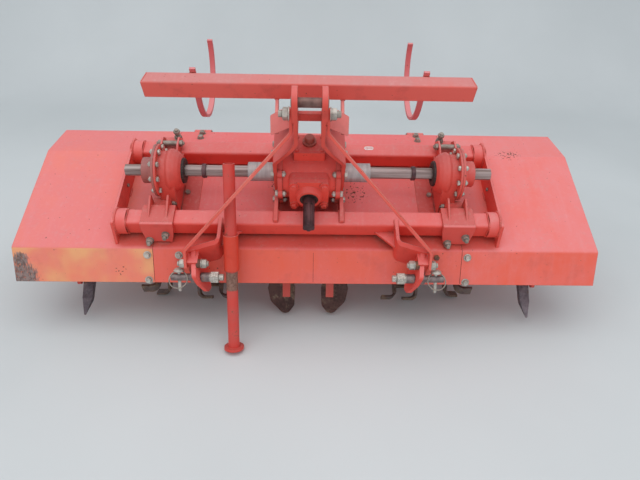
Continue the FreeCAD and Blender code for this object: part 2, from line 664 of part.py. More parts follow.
def make_links():
    """Lower link brackets on the lip, their pins, and the braces up to the mast."""
    slope = lip_drop / lip_run
    lug_x = LUG_FACE_X - LUG_PLATE / 2
    span = 2 * (STEP_TOP_Z + LINK_SHOULDER_X)
    # plate from the tube, turned outwards across the fold of the hood
    web = strip([
        (V(STEP_X, STEP_REAR_Y, 0), 0),
        (V(STEP_X, WEB_BEND_Y, 0), 14.0),
        (V(BRACE_X, WEB_END_Y, 0), 0),
    ], STEP_THICK, V(0, 0, -span))
    web.translate(V(0, 0, span / 2))
    web = web.common(side_plate([
        (FRONT_TUBE_Y, 0, 0), (FRONT_TUBE_Y, TUBE_TOP, 0), (STEP_REAR_Y, TUBE_TOP, 0),
        (STEP_REAR_Y, STEP_TOP_Z, 0), (WEB_BEND_Y + 6.0, STEP_TOP_Z, 6.0), (WEB_END_Y, WEB_TOP_Z, 0),
        (2 * WEB_END_Y, WEB_TOP_Z, 0), (2 * WEB_END_Y, 2 * WEB_END_Y * slope, 0), (0, 0, 0),
    ], (0, BRACE_X)))
    # lug that leans outwards as it rises, between the web and the pin
    root_y = 0.8 * WEB_END_Y
    lug = side_plate([
        (root_y, WEB_TOP_Z - 2.0, 0),
        (LINK_Y + 26.0, BLOCK_TOP_Z - 4.0, 14.0),
        (LINK_Y - LUG_NOSE + 7.0, LINK_Z + 34.0, 14.0),
        (LINK_Y - LUG_NOSE, LINK_Z, 30.0),
        (LINK_Y - LUG_NOSE + 5.0, LINK_Z - 56.0, 14.0),
        (LINK_Y + 3.0, LUG_FOOT_Z, 8.0),
        (LINK_Y + 18.0, (LINK_Y + 18.0) * slope, 0),
        (root_y, root_y * slope, 0),
    ], (lug_x - LUG_PLATE / 2, lug_x + LUG_PLATE / 2))
    shear = FreeCAD.Matrix()
    shear.A13 = LUG_SLANT
    shear.A14 = -LUG_SLANT * LINK_Z
    lug = lug.transformGeometry(shear)
    block = box((lug_x, BRACE_X), (BLOCK_FRONT_Y, BLOCK_REAR_Y), (BLOCK_LOW_Z, BLOCK_TOP_Z))
    block = block.cut(side_plate([(0, 0, 0), (BLOCK_FRONT_Y * 2, BLOCK_FRONT_Y * 2 * slope, 0),
                                  (0, BLOCK_FRONT_Y * 2 * slope, 0)], (0, BRACE_X)))
    gusset = level_plate([
        (STEP_X, FRONT_TUBE_Y, 0), (STEP_X - GUSSET_REACH, FRONT_TUBE_Y, 0), (STEP_X, WEB_BEND_Y, 0),
    ], (TUBE_LIFT + 14.0, TUBE_LIFT + 22.0))
    bracket = joined([web, lug, block, gusset])
    thread = rod((0, BRACE_X), LINK_Y, LINK_Z, LINK_THREAD_D)
    inner = LUG_FACE_X - LUG_PLATE
    outer = LINK_SHOULDER_X + LINK_COLLAR
    collar = rod((LUG_FACE_X, outer), LINK_Y, LINK_Z, LINK_COLLAR_D)
    spacer = rod((LINK_NUT_X, inner), LINK_Y, LINK_Z, LINK_SPACER_D)
    bracket = bracket.cut(thread).cut(collar).cut(spacer)
    add_pair("link_bracket", bracket)

    add_pair("link_pin", joined([
        rod((LINK_THREAD_END_X, outer), LINK_Y, LINK_Z, LINK_THREAD_D),
        hexagon(LINK_NUT_FLATS, (LINK_NUT_X - LINK_NUT_THICK, LINK_NUT_X), LINK_Y, LINK_Z),
        spacer, collar,
        rod((outer, outer + LINK_PIN_REACH), LINK_Y, LINK_Z, LINK_PIN_D),
    ]))

    top_face = MAST_EAR_FACE + EAR_DOUBLER + BRACE_THICK / 2
    foot_face = BRACE_X + BRACE_THICK / 2
    run = V(0, BRACE_FOOT_Y - BRACE_TOP_Y, BRACE_FOOT_Z - BRACE_TOP_Z)
    length = run.Length
    down = V(run).normalize()
    across = V(1, 0, 0).cross(down)
    start = V(0, BRACE_TOP_Y, BRACE_TOP_Z) - across * (BRACE_WIDTH / 2)
    path = [
        (start + V(top_face, 0, 0) - down * BRACE_END, 0),
        (start + V(top_face, 0, 0) + down * 24.0, 12.0),
        (start + V(foot_face, 0, 0) + down * (length - 48.0), 12.0),
        (start + V(foot_face, 0, 0) + down * (length + 6.0), 0),
    ]
    add_pair("brace", strip(path, BRACE_THICK, across * BRACE_WIDTH))


def make_leg():
    """Parking leg that slides in a sleeve on the lip."""
    down = V(0, -lip_run, -lip_drop)
    sleeve_y, sleeve_z = along_lip(LEG_SLEEVE_TOP, LEG_STANDOFF)
    top = V(LEG_X, sleeve_y, sleeve_z)
    tube = Part.makeCylinder(LEG_SLEEVE_OUTER / 2, LEG_SLEEVE_LENGTH, top, down)
    web_path = [
        (V(LEG_X - LEG_WEB / 2, *along_lip(6.0, 0)), 0),
        (V(LEG_X - LEG_WEB / 2, *along_lip(LEG_SLEEVE_LENGTH + LEG_SLEEVE_TOP - 4.0, 0)), 0),
        (V(LEG_X - LEG_WEB / 2, *along_lip(LEG_SLEEVE_LENGTH + LEG_SLEEVE_TOP - 4.0, LEG_STANDOFF)), 0),
        (V(LEG_X - LEG_WEB / 2, *along_lip(6.0, LEG_STANDOFF)), 0),
    ]
    web = face_of(web_path).extrude(V(LEG_WEB, 0, 0))
    bore = Part.makeCylinder(LEG_OUTER / 2 + RUN, 2 * LEG_LENGTH, top - down * LEG_LENGTH, down)
    parts["leg_sleeve"] = joined([tube, web]).cut(bore)

    foot_dip = FOOT_OUTER / 2 * abs(lip_run * LEAN_COS - lip_drop * LEAN_SIN)
    start_y, start_z = along_lip(0, LEG_STANDOFF)
    fall = lip_run * LEAN_SIN + lip_drop * LEAN_COS
    reach = (height(start_y, start_z) - foot_dip) / fall
    sole = V(LEG_X, *along_lip(reach, LEG_STANDOFF))
    shaft = Part.makeCylinder(LEG_OUTER / 2, LEG_LENGTH, sole, down * -1)
    hollow = Part.makeCylinder(LEG_OUTER / 2 - LEG_WALL, LEG_LENGTH, sole - down * FOOT_THICK, down * -1)
    foot = Part.makeCylinder(FOOT_OUTER / 2, FOOT_THICK, sole, down * -1)
    parts["leg"] = joined([shaft, foot]).cut(hollow)


def teardrop(top, top_radius, low, low_radius, x):
    """Plate that spans two circles of the side view with straight flanks."""
    reach = math.hypot(low[0] - top[0], low[1] - top[1])
    heading = math.atan2(low[1] - top[1], low[0] - top[0])
    tilt = math.acos((top_radius - low_radius) / reach)
    spots = []
    for turn in (tilt, -tilt):
        angle = heading + turn
        for centre, radius in ((top, top_radius), (low, low_radius)):
            spots.append(V(x[0], centre[0] + radius * math.cos(angle), centre[1] + radius * math.sin(angle)))
    back = heading + math.pi
    top_far = V(x[0], top[0] + top_radius * math.cos(back), top[1] + top_radius * math.sin(back))
    low_far = V(x[0], low[0] + low_radius * math.cos(heading), low[1] + low_radius * math.sin(heading))
    edges = [
        Part.LineSegment(spots[0], spots[1]).toShape(),
        Part.Arc(spots[1], low_far, spots[3]).toShape(),
        Part.LineSegment(spots[3], spots[2]).toShape(),
        Part.Arc(spots[2], top_far, spots[0]).toShape(),
    ]
    return Part.Face(Part.Wire(Part.__sortEdges__(edges))).extrude(V(x[1] - x[0], 0, 0))


def bell(x_and_radius):
    """Turned shape about the cross shaft from (x, radius) points, closed on the shaft's axis."""
    points = [V(x, SHAFT_Y, SHAFT_Z + radius) for x, radius in x_and_radius]
    points = [V(points[0].x, SHAFT_Y, SHAFT_Z)] + points + [V(points[-1].x, SHAFT_Y, SHAFT_Z)]
    profile = face_of([(p, 0) for p in points])
    return profile.revolve(V(0, SHAFT_Y, SHAFT_Z), V(1, 0, 0), 360)


def make_heads():
    """Drive cases that reach through the deck, with their covers and clamps."""
    hex_bore = 2 * (HEX_FLATS / math.sqrt(3) + RUN)
    bore = rod((0, HOOD_HALF), SHAFT_Y, SHAFT_Z, hex_bore)
    axle_bore = rod((0, HOOD_HALF), ROTOR_Y, ROTOR_Z, AXLE_D + 2 * RUN)
    case_x = (HEAD_X - CASE_WIDTH / 2, HEAD_X + CASE_WIDTH / 2)
    front_face = FRONT_TUBE_Y - SADDLE_THICK
    back_face = FRONT_TUBE_Y + TUBE + SADDLE_THICK
    saddle_top = TUBE_TOP + SADDLE_THICK
    saddle_x = (SADDLE_X - SADDLE_HALF, SADDLE_X + SADDLE_HALF)
    flange_x = (JOINT_X - FLANGE_THICK, JOINT_X)
    case = [
        teardrop((SHAFT_Y, SHAFT_Z), CASE_TOP_RADIUS, (ROTOR_Y, ROTOR_Z), CASE_LOW_RADIUS, case_x),
        bell([(BELL_INNER_X, BELL_SMALL / 2), (BELL_INNER_X + 6.0, BELL_SMALL / 2 + 11.0),
              (BELL_INNER_X + 16.0, BELL_OUTER / 2 - 6.0), (BELL_WIDE_X - 6.0, BELL_OUTER / 2),
              (BELL_WIDE_X, BELL_OUTER / 2), (BELL_WIDE_X + 10.0, NECK_OUTER / 2), (flange_x[0], NECK_OUTER / 2)]),
        rod(flange_x, SHAFT_Y, SHAFT_Z, FLANGE_OUTER),
    ]
    case.append(box(saddle_x, (FRONT_TUBE_Y, back_face), (TUBE_TOP, saddle_top)))
    case.append(box(saddle_x, (FRONT_TUBE_Y + TUBE, back_face), (TUBE_LIFT, saddle_top)))
    for x in (SADDLE_X - RIB_SPREAD / 2, SADDLE_X + RIB_SPREAD / 2):
        case.append(side_plate([
            (FRONT_TUBE_Y + 12.0, saddle_top - 1.0, 0),
            (back_face - 1.0, saddle_top - 1.0, 0),
            (back_face - 1.0, FOOT_LOW_Z, 0),
            (RIB_TOP_Y, FOOT_LOW_Z, 0),
            (RIB_TOP_Y, RIB_TOP_Z, 4.0),
        ], (x - RIB_THICK / 2, x + RIB_THICK / 2)))
    case.append(box((SADDLE_X - RIB_SPREAD / 2, SADDLE_X + RIB_SPREAD / 2), (back_face - 1.0, FOOT_REAR_Y),
                    (FOOT_LOW_Z, FOOT_TOP_Z)))
    case.append(box((HEAD_X - 20.0, HEAD_X + 20.0), (SHAFT_Y + 40.0, REAR_TUBE_Y), (TUBE_LIFT + 12.0, TUBE_TOP)))
    room = rod((JOINT_X, END_CAP_X), SHAFT_Y, SHAFT_Z, FLANGE_OUTER + 4.0)
    add_pair("head_case", joined(case).cut(room).cut(bore).cut(axle_bore))

    cover = [
        rod((JOINT_X, JOINT_X + FLANGE_THICK), SHAFT_Y, SHAFT_Z, FLANGE_OUTER),
        Part.makeCone(COVER_DOME / 2, END_CAP_OUTER / 2, COVER_SLOPE,
                      V(JOINT_X + FLANGE_THICK, SHAFT_Y, SHAFT_Z), V(1, 0, 0)),
        rod((JOINT_X, END_CAP_X), SHAFT_Y, SHAFT_Z, END_CAP_OUTER),
    ]
    add_pair("head_cover", joined(cover).cut(bore))

    wedge = side_plate([
        (FRONT_TUBE_Y, 2.0, 0), (FRONT_TUBE_Y, saddle_top, 0), (front_face, saddle_top, 3.0),
        (front_face - CLAMP_TOE, 2.0, 4.0),
    ], saddle_x)
    add_pair("front_clamp", wedge.common(front_plate([
        (saddle_x[0], saddle_top, 0), (saddle_x[1], saddle_top, 0), (saddle_x[1], TUBE_TOP - 14.0, 6.0),
        (saddle_x[1] - CLAMP_TAPER, 0, 0), (saddle_x[0] + CLAMP_TAPER, 0, 0), (saddle_x[0], TUBE_TOP - 14.0, 6.0),
    ], (0, FRONT_TUBE_Y))))

    rear_face = REAR_TUBE_Y + TUBE
    rib_top = TUBE_TOP + REAR_RIB_RISE
    strap_x = (SADDLE_X - REAR_STRAP_HALF, SADDLE_X + REAR_STRAP_HALF)
    strap = [
        box(strap_x, (REAR_TUBE_Y, rear_face + SADDLE_THICK), (TUBE_TOP, saddle_top)),
        box(strap_x, (rear_face, rear_face + SADDLE_THICK), (TUBE_LIFT, saddle_top)),
    ]
    for x in (SADDLE_X - REAR_RIB_SPREAD / 2, SADDLE_X + REAR_RIB_SPREAD / 2):
        strap.append(side_plate([
            (REAR_TUBE_Y - REAR_RIB_FRONT, TUBE_TOP + 1.0, 0), (rear_face + SADDLE_THICK, TUBE_TOP + 1.0, 0),
            (rear_face - 16.0, rib_top, 12.0), (REAR_TUBE_Y + 4.0, rib_top, 16.0),
            (REAR_TUBE_Y - REAR_RIB_FRONT, TUBE_TOP + 14.0, 6.0),
        ], (x - REAR_RIB_THICK / 2, x + REAR_RIB_THICK / 2)))
    add_pair("rear_clamp", joined(strap))


def blade(x, side):
    """One L-shaped blade in the 12 o'clock place about the x axis; its foot turns to one side."""
    half = BLADE_WIDTH / 2
    foot = BLADE_TIP / 2
    middle = ROTOR_RADIUS - BLADE_THICK / 2
    flat = strip([
        (V(x, -half, DISC_RADIUS * 0.62), 0),
        (V(x, -half, middle), BLADE_BEND),
        (V(x + side * BLADE_FOOT, -half, middle), 0),
    ], BLADE_THICK, V(0, BLADE_WIDTH, 0))
    bend_start = ROTOR_RADIUS - BLADE_BEND
    beyond = ROTOR_RADIUS + BLADE_THICK
    planform = side_plate([
        (-half, DISC_RADIUS * 0.5, 0), (half, DISC_RADIUS * 0.5, 0), (half, BLADE_SHOULDER, 60.0),
        (foot, bend_start, 20.0), (foot, beyond, 0), (-foot, beyond, 0),
        (-foot, bend_start, 20.0), (-half, BLADE_SHOULDER, 60.0),
    ], (x - 2 * BLADE_FOOT, x + 2 * BLADE_FOOT))
    return flat.common(planform)


def make_rotors():
    """Axle, tubes and discs with six L-blades each, three discs to a rotor."""
    start = HEAD_X - ROTOR_INNER
    end = HEAD_X + ROTOR_OUTER
    room = CASE_WIDTH / 2 + CASE_GAP
    pieces = [
        rod((start, HEAD_X - room), 0, 0, ROTOR_TUBE),
        rod((HEAD_X + room, end), 0, 0, ROTOR_TUBE),
        rod((start, end), 0, 0, AXLE_D),
    ]
    for row, (offset, sides) in enumerate(DISCS):
        x = HEAD_X + offset
        pieces.append(rod((x - DISC_THICK / 2, x + DISC_THICK / 2), 0, 0, 2 * DISC_RADIUS))
        for i in range(BLADES):
            side = sides[i % 2]
            tine = blade(x + side * (DISC_THICK + BLADE_THICK) / 2, side)
            tine.rotate(V(0, 0, 0), V(1, 0, 0), 180.0 - NOSE_DOWN + ROW_STEP * (row + 0.5) + i * 360.0 / BLADES)
            pieces.append(tine)
    rotor = joined(pieces)
    rotor.translate(V(0, ROTOR_Y, ROTOR_Z))
    add_pair("rotor", rotor)


def make_tines():
    """Pointed tines near the hood's ends, each bolted beside a curved shank."""
    half = TINE_WIDTH / 2
    add_pair("tine_shank", side_plate([
        (10.0, -SHEET, 0), (10.0 + SHANK_WIDTH, -SHEET, 0), (28.0, -0.8 * SHANK_DEPTH, 30.0),
        (-2.0, -SHANK_DEPTH, 8.0), (-34.0, 10.0 - SHANK_DEPTH, 8.0), (-8.0, -0.65 * SHANK_DEPTH, 20.0),
    ], (TINE_X + half, TINE_X + half + TINE_SHANK)))
    profile = side_plate([
        (22.0, TINE_HEAD_Z, 6.0), (36.0, TINE_HEAD_Z - 10.0, 6.0), (8.0, TINE_HEEL_Z, 45.0),
        (0.5 * TINE_TIP_Y, TINE_TIP_Z - 1.0, 60.0), (TINE_TIP_Y, TINE_TIP_Z, 0),
        (0.45 * TINE_TIP_Y, TINE_HEEL_Z, 60.0), (-8.0, TINE_HEEL_Z + 22.0, 40.0),
    ], (TINE_X - half, TINE_X + half))
    taper = level_plate([
        (TINE_X - half, -TINE_NARROW_Y, 0), (TINE_X - half, TINE_NARROW_Y, 0),
        (TINE_X - TINE_POINT / 2, TINE_TIP_Y, 0), (TINE_X + TINE_POINT / 2, TINE_TIP_Y, 0),
        (TINE_X + half, TINE_NARROW_Y, 0), (TINE_X + half, -TINE_NARROW_Y, 0),
    ], (TINE_TIP_Z - TINE_WIDTH, TINE_HEAD_Z + TINE_WIDTH))
    add_pair("tine", profile.common(taper))


def make_shares():
    """Rounded spade blades beside the centre line, behind the ends of their bent shanks."""
    forward, drop = direction(SHARE_RAKE)
    tip = V(0, SHARE_TIP_Y, SHARE_TIP_Z)
    up_face = V(0, forward, drop)
    out_face = V(0, -drop, forward)
    outline = []
    for across, rise, radius in (
        (-0.31, 0, 20.0), (0.8, 0.42, 30.0), (1.0, 0.78, 20.0), (0.85, 1.0, 8.0),
        (-0.85, 1.0, 8.0), (-1.0, 0.78, 20.0), (-0.96, 0.32, 24.0),
    ):
        point = tip + V(SHARE_X + across * SHARE_HALF, 0, 0) + up_face * (rise * SHARE_LENGTH)
        outline.append((point, radius))
    add_pair("share", face_of(outline).extrude(out_face * -SHARE_THICK))

    end = tip + up_face * SHARE_BARE + out_face * (SHARE_SHANK / 2)
    bend = end + up_face * ((SHARE_SHANK_BEND_Z - end.z) / drop)
    left = V(SHARE_SHANK_X - SHARE_SHANK_WIDTH / 2, 0, 0)
    shank = strip([
        (left + V(0, bend.y, -SHEET), 0),
        (left + bend, 40.0),
        (left + end, 0),
    ], SHARE_SHANK, V(SHARE_SHANK_WIDTH, 0, 0))
    add_pair("share_shank", shank)


def on_bevel(along, rise):
    """(y, z) of a point past the hood's rear edge and up from the bevel's face."""
    return (REAR_EDGE[0] + along * bevel_run + rise * bevel_drop,
            REAR_EDGE[1] - along * bevel_drop + rise * bevel_run)


def make_board():
    """Trailing board that hangs from two strap hinges on the hood's rear edge."""
    pin_y, pin_z = on_bevel(HINGE_REACH, -HINGE_DROP)
    under = -SHEET - HINGE_STRAP
    down = V(0, -LEAN_SIN, -LEAN_COS)
    back = V(0, LEAN_COS, -LEAN_SIN)
    pin = V(0, pin_y, pin_z)
    left = V(-BOARD_HALF, 0, 0) + pin
    board = [strip([
        (left + down * BOARD_TOP, 0),
        (left + down * BOARD_LENGTH, 8.0),
        (left + down * (BOARD_LENGTH + 14.0) + back * 22.0, 0),
    ], BOARD_SHEET, V(2 * BOARD_HALF, 0, 0))]
    holes = []
    knuckle = HINGE_WIDTH / 3
    for middle, name in ((-HINGE_X, "hinge_strap_left"), (HINGE_X, "hinge_strap_right")):
        inner = (middle - knuckle / 2, middle + knuckle / 2)
        outer = (middle - HINGE_WIDTH / 2, middle + HINGE_WIDTH / 2)
        eye_x = (inner[0] + 0.5, inner[1] - 0.5)
        tongue = []
        for drop, step in ((0, 8.0), (0, 2.0), (TONGUE_LENGTH, 2.0), (TONGUE_LENGTH, 8.0)):
            tongue.append((V(eye_x[0], 0, 0) + pin + down * drop + back * step, 0))
        board += [rod(eye_x, pin_y, pin_z, HINGE_EYE_D), face_of(tongue).extrude(V(eye_x[1] - eye_x[0], 0, 0))]
        holes.append(rod((middle - HINGE_WIDTH, middle + HINGE_WIDTH), pin_y, pin_z, HINGE_PIN_D + 2 * RUN))
        leaf = [(*on_bevel(along, rise), 0) for along, rise in (
            (-LEAF_LENGTH, under), (-2.0, under), (-2.0, -SHEET), (-LEAF_LENGTH, -SHEET))]
        arm = [(*on_bevel(along, rise), 0) for along, rise in (
            (-4.0, under), (HINGE_REACH, -HINGE_DROP), (HINGE_REACH, under + 4.0), (-4.0, -SHEET))]
        strap = [side_plate(leaf, outer), rod((outer[0] - 4.0, outer[1] + 4.0), pin_y, pin_z, HINGE_PIN_D)]
        for x in ((outer[0], inner[0]), (inner[1], outer[1])):
            strap += [rod(x, pin_y, pin_z, HINGE_EYE_D), side_plate(arm, x)]
        parts[name] = joined(strap)
    whole = joined(board)
    for hole in holes:
        whole = whole.cut(hole)
    parts["trailing_board"] = whole


make_hood()
make_frame()
make_gearbox()
make_mast()
make_cross_bar()
make_links()
make_leg()
make_heads()
make_rotors()
make_tines()
make_shares()
make_board()

# Lean every piece forward and put the ground under the blades and the foot
for shape in parts.values():
    shape.rotate(V(0, 0, 0), V(1, 0, 0), NOSE_DOWN)

boxes = [shape.optimalBoundingBox(True, False) for shape in parts.values()]
middle_y = (min(b.YMin for b in boxes) + max(b.YMax for b in boxes)) / 2
ground = height(0, 0)

os.makedirs("parts", exist_ok=True)
for name, shape in parts.items():
    shape.translate(V(0, -middle_y, ground))
    shape.exportStep("parts/" + name + ".step")
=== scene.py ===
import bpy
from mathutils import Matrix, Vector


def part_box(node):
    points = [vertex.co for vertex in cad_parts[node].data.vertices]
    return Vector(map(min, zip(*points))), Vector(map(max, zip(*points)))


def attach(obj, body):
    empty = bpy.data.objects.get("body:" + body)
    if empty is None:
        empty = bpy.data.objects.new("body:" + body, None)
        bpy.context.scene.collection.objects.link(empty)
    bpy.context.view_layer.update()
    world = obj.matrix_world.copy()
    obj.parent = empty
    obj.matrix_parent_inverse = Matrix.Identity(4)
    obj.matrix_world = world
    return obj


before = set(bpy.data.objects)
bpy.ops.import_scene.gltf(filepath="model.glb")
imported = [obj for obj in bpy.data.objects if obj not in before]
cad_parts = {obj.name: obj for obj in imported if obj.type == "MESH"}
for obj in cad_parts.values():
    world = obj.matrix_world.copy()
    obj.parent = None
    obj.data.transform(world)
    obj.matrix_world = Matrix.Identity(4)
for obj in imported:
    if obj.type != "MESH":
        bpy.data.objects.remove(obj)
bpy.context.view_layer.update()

import bmesh
import bpy
import math
import numpy as np
from mathutils import Matrix, Vector

# Camera
# The lens stands 1.55 m in front of the machine's middle and 1.11 m up, and looks 30 degrees
# down with a slight turn and roll. Its focal length is 520 of the frame's 640 pixels.
STAND = (0.0, -1.548, 1.111)
LOOK_DOWN = math.radians(30.31)
LOOK_ASIDE = math.radians(-1.46)
ROLL = math.radians(-1.30)
SENSOR_WIDTH = 36.0
lens = bpy.data.cameras.new("camera")
lens.sensor_width = SENSOR_WIDTH
lens.lens = SENSOR_WIDTH * 520 / 640
lens.clip_start = 0.05
camera = bpy.data.objects.new("camera", lens)
look = Matrix.Rotation(LOOK_ASIDE, 4, "Z") @ Matrix.Rotation(math.pi / 2 - LOOK_DOWN, 4, "X")
camera.matrix_world = Matrix.Translation(STAND) @ look @ Matrix.Rotation(-ROLL, 4, "Z")
bpy.context.collection.objects.link(camera)
bpy.context.scene.camera = camera
bpy.context.scene.view_settings.view_transform = "Standard"


# Floor and light
# A pale floor that sweeps up behind into a backdrop, under an even sky with one broad
# soft lamp, level enough that paint shows about the colour it was mixed.
class Wire:
    """An output of a shader node. A sum on it adds the node that works the sum out."""

    def __init__(self, tree, socket=None):
        self.tree = tree
        self.socket = socket

    def node(self, kind, settings, inputs, output=0):
        """A new node: its settings first, then the values or links of its sockets."""
        made = self.tree.nodes.new(kind)
        for name, value in settings.items():
            setattr(made, name, value)
        for name, value in inputs.items():
            if isinstance(value, Wire):
                self.tree.links.new(value.socket, made.inputs[name])
            else:
                made.inputs[name].default_value = value
        return Wire(self.tree, made.outputs[output])

    def math(self, operation, first, second=0.0):
        """A sum on one or two numbers."""
        return self.node("ShaderNodeMath", {"operation": operation}, {0: first, 1: second})

    def vector(self, operation, first, second, output=0):
        """A sum on two vectors."""
        return self.node("ShaderNodeVectorMath", {"operation": operation}, {0: first, 1: second},
                         output)

    def __add__(self, other):
        return self.math("ADD", self, other)

    def __mul__(self, other):
        return self.math("MULTIPLY", self, other)

    def __sub__(self, other):
        return self.math("SUBTRACT", self, other)

    def __rsub__(self, other):
        return self.math("SUBTRACT", other, self)

    __radd__ = __add__
    __rmul__ = __mul__

    def most(self, other):
        """The larger of two values."""
        return self.math("MAXIMUM", self, other)

    def size(self):
        """The value without its sign."""
        return self.math("ABSOLUTE", self)

    def rise(self, low, high):
        """Goes smoothly from 0 to 1 as the value goes from low to high."""
        return self.node("ShaderNodeMapRange", {"interpolation_type": "SMOOTHSTEP", "clamp": True},
                         {"Value": self, "From Min": low, "From Max": high})

    def noise(self, scale, detail=3.0, rough=0.5):
        """Cloudy noise at this place, scale in patches per metre."""
        return self.node("ShaderNodeTexNoise", {},
                         {"Vector": self, "Scale": scale, "Detail": detail, "Roughness": rough})

    def stretched(self, scale):
        """The place with each axis multiplied by its own number."""
        return self.node("ShaderNodeMapping", {}, {"Vector": self, "Scale": scale})

    def along(self, start, heading):
        """How far the place lies past a start along a heading: the dot product of the two."""
        away = self.vector("SUBTRACT", self, tuple(start))
        return self.vector("DOT_PRODUCT", away, tuple(heading), "Value")

    def near(self, spot, reach):
        """1 at a spot, falling to 0 at a reach from it, metres."""
        gap = self.vector("DISTANCE", self, tuple(spot), "Value")
        return 1.0 - gap.rise(0.3 * reach, reach)

    def part(self, axis):
        """One of the three numbers of a vector."""
        return self.node("ShaderNodeSeparateXYZ", {}, {"Vector": self}, axis)

    def mix(self, share, first, second):
        """First colour or, by the share, the second."""
        made = self.tree.nodes.new("ShaderNodeMix")
        made.data_type = "RGBA"
        sockets = {socket.identifier: socket for socket in made.inputs}
        for name, value in (("Factor_Float", share), ("A_Color", first), ("B_Color", second)):
            if isinstance(value, Wire):
                self.tree.links.new(value.socket, sockets[name])
            else:
                sockets[name].default_value = value if isinstance(value, float) else (*value, 1.0)
        return Wire(self.tree, next(o for o in made.outputs if o.identifier == "Result_Color"))

    def place(self):
        """Point of the surface in the object's own coordinates, metres."""
        return self.node("ShaderNodeTexCoord", {}, {}, "Object")

    def softened(self, radius):
        """The surface's normal with its edges rounded to a radius, metres."""
        return self.node("ShaderNodeBevel", {"samples": 4}, {"Radius": radius})

    def edge(self, soft):
        """0 on a flat face and more towards its edges: 1 less the dot product of the flat
        normal and the softened one."""
        flat = self.node("ShaderNodeNewGeometry", {}, {}, "Normal")
        return 1.0 - self.vector("DOT_PRODUCT", flat, soft, "Value")

    def openness(self, distance):
        """1 in the open, less where other faces stand close by, within a distance in metres."""
        return self.node("ShaderNodeAmbientOcclusion", {"samples": 6}, {"Distance": distance}, "AO")

    def bump(self, strength, distance, height, soft):
        """The softened normal, tilted by a height that is worth a distance in metres."""
        return self.node("ShaderNodeBump", {}, {"Strength": strength, "Distance": distance,
                                                "Height": height, "Normal": soft})


def finish(name, constants):
    """New material: its wire and its surface shader, whose plain sockets are set."""
    material = bpy.data.materials.new(name)
    material.use_nodes = True
    tree = material.node_tree
    tree.nodes.clear()
    shader = tree.nodes.new("ShaderNodeBsdfPrincipled")
    out = tree.nodes.new("ShaderNodeOutputMaterial")
    tree.links.new(shader.outputs[0], out.inputs["Surface"])
    for socket, value in constants.items():
        shader.inputs[socket].default_value = value
    return material, Wire(tree), shader


def feed(shader, **links):
    """Joins worked-out values to the shader's sockets, underscores standing for spaces."""
    for socket, value in links.items():
        value.tree.links.new(value.socket, shader.inputs[socket.replace("_", " ")])


def speckled(name, first, second, scale, rough, specular, low=0.3, high=0.7, detail=3.0,
             metallic=0.0):
    """A finish in two tones: from the first to the second as cloudy noise goes from low to
    high, and from one roughness to the other as it goes from 0 to 1."""
    material, wire, shader = finish(name, {"Specular IOR Level": specular, "Metallic": metallic})
    cloud = wire.place().noise(scale, detail)
    feed(shader, Base_Color=wire.mix(cloud.rise(low, high), first, second),
         Roughness=cloud * (rough[1] - rough[0]) + rough[0])
    return material


FLOOR_REACH = 14.0
BEND_START = 2.2
BEND_RADIUS = 1.0
BACKDROP_TOP = 6.0
LAMP = Vector((-0.25, -0.9, 3.4))
LAMP_AIM = Vector((0.0, 0.1, 0.3))

floor_paint = speckled("floor_paint", (0.60, 0.63, 0.64), (0.65, 0.68, 0.69), 0.7, rough=(0.8, 0.9),
                       specular=0.15, detail=4.0)
bend = np.linspace(0, math.pi / 2, 17)
sweep = np.concatenate([
    [[-FLOOR_REACH, 0.0], [1.2, 0.0]],
    np.stack([BEND_START + BEND_RADIUS * np.sin(bend), BEND_RADIUS * (1.0 - np.cos(bend))], 1),
    [[BEND_START + BEND_RADIUS, BACKDROP_TOP]],
])
across = np.array([-FLOOR_REACH, FLOOR_REACH])
grid = np.stack(np.broadcast_arrays(across[None, :], sweep[:, :1], sweep[:, 1:]), -1)
quads = [(2 * i, 2 * i + 1, 2 * i + 3, 2 * i + 2) for i in range(len(sweep) - 1)]
mesh = bpy.data.meshes.new("floor")
mesh.from_pydata(grid.reshape(-1, 3), [], quads)
mesh.materials.append(floor_paint)
floor = bpy.data.objects.new("floor", mesh)
bpy.context.collection.objects.link(floor)
mesh.shade_smooth()

light = bpy.data.lights.new("sky_lamp", "AREA")
light.shape = "RECTANGLE"
light.size = 4.0
light.size_y = 3.0
light.energy = 42.0
light.color = (1.0, 0.985, 0.96)
sky_lamp = bpy.data.objects.new("sky_lamp", light)
aimed = (LAMP_AIM - LAMP).to_track_quat("-Z", "Y").to_matrix().to_4x4()
sky_lamp.matrix_world = Matrix.Translation(LAMP) @ aimed
bpy.context.collection.objects.link(sky_lamp)
world = bpy.data.worlds.new("world")
world.use_nodes = True
sky = world.node_tree.nodes["Background"]
sky.inputs["Color"].default_value = (0.93, 0.965, 1.0, 1.0)
sky.inputs["Strength"].default_value = 0.86
bpy.context.scene.world = world


# Hood
# Folded 4 mm steel sheet in a centre panel and two wings bolted on beside it, sprayed
# orange. What faces the sky is pink from sun fade and a painted sky sheen; the lip has kept
# its colour, and a deeper red strip in front of the front tube is its painted shadow.
LEAN = math.radians(26.4)
SHAFT = np.array([0.0, 212.0, 111.0])
# Deep red of the front tube's painted shadow on the deck in front of it.
TUBE_SHADOW_RED = (0.58, 0.066, 0.047)
shaft_middle = np.mean([list(corner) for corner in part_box("hex_shaft")], axis=0)
to_packed = np.array([[1.0, 0.0, 0.0],
                      [0.0, math.cos(LEAN), -math.sin(LEAN)],
                      [0.0, math.sin(LEAN), math.cos(LEAN)]])


def packed(points):
    """Points of the level machine (mm right, rearward and up from its deck) where the parked
    one has them (m): turned nose down about x, with its shaft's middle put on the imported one."""
    return (np.asarray(points, float) - SHAFT) @ to_packed.T / 1000.0 + shaft_middle


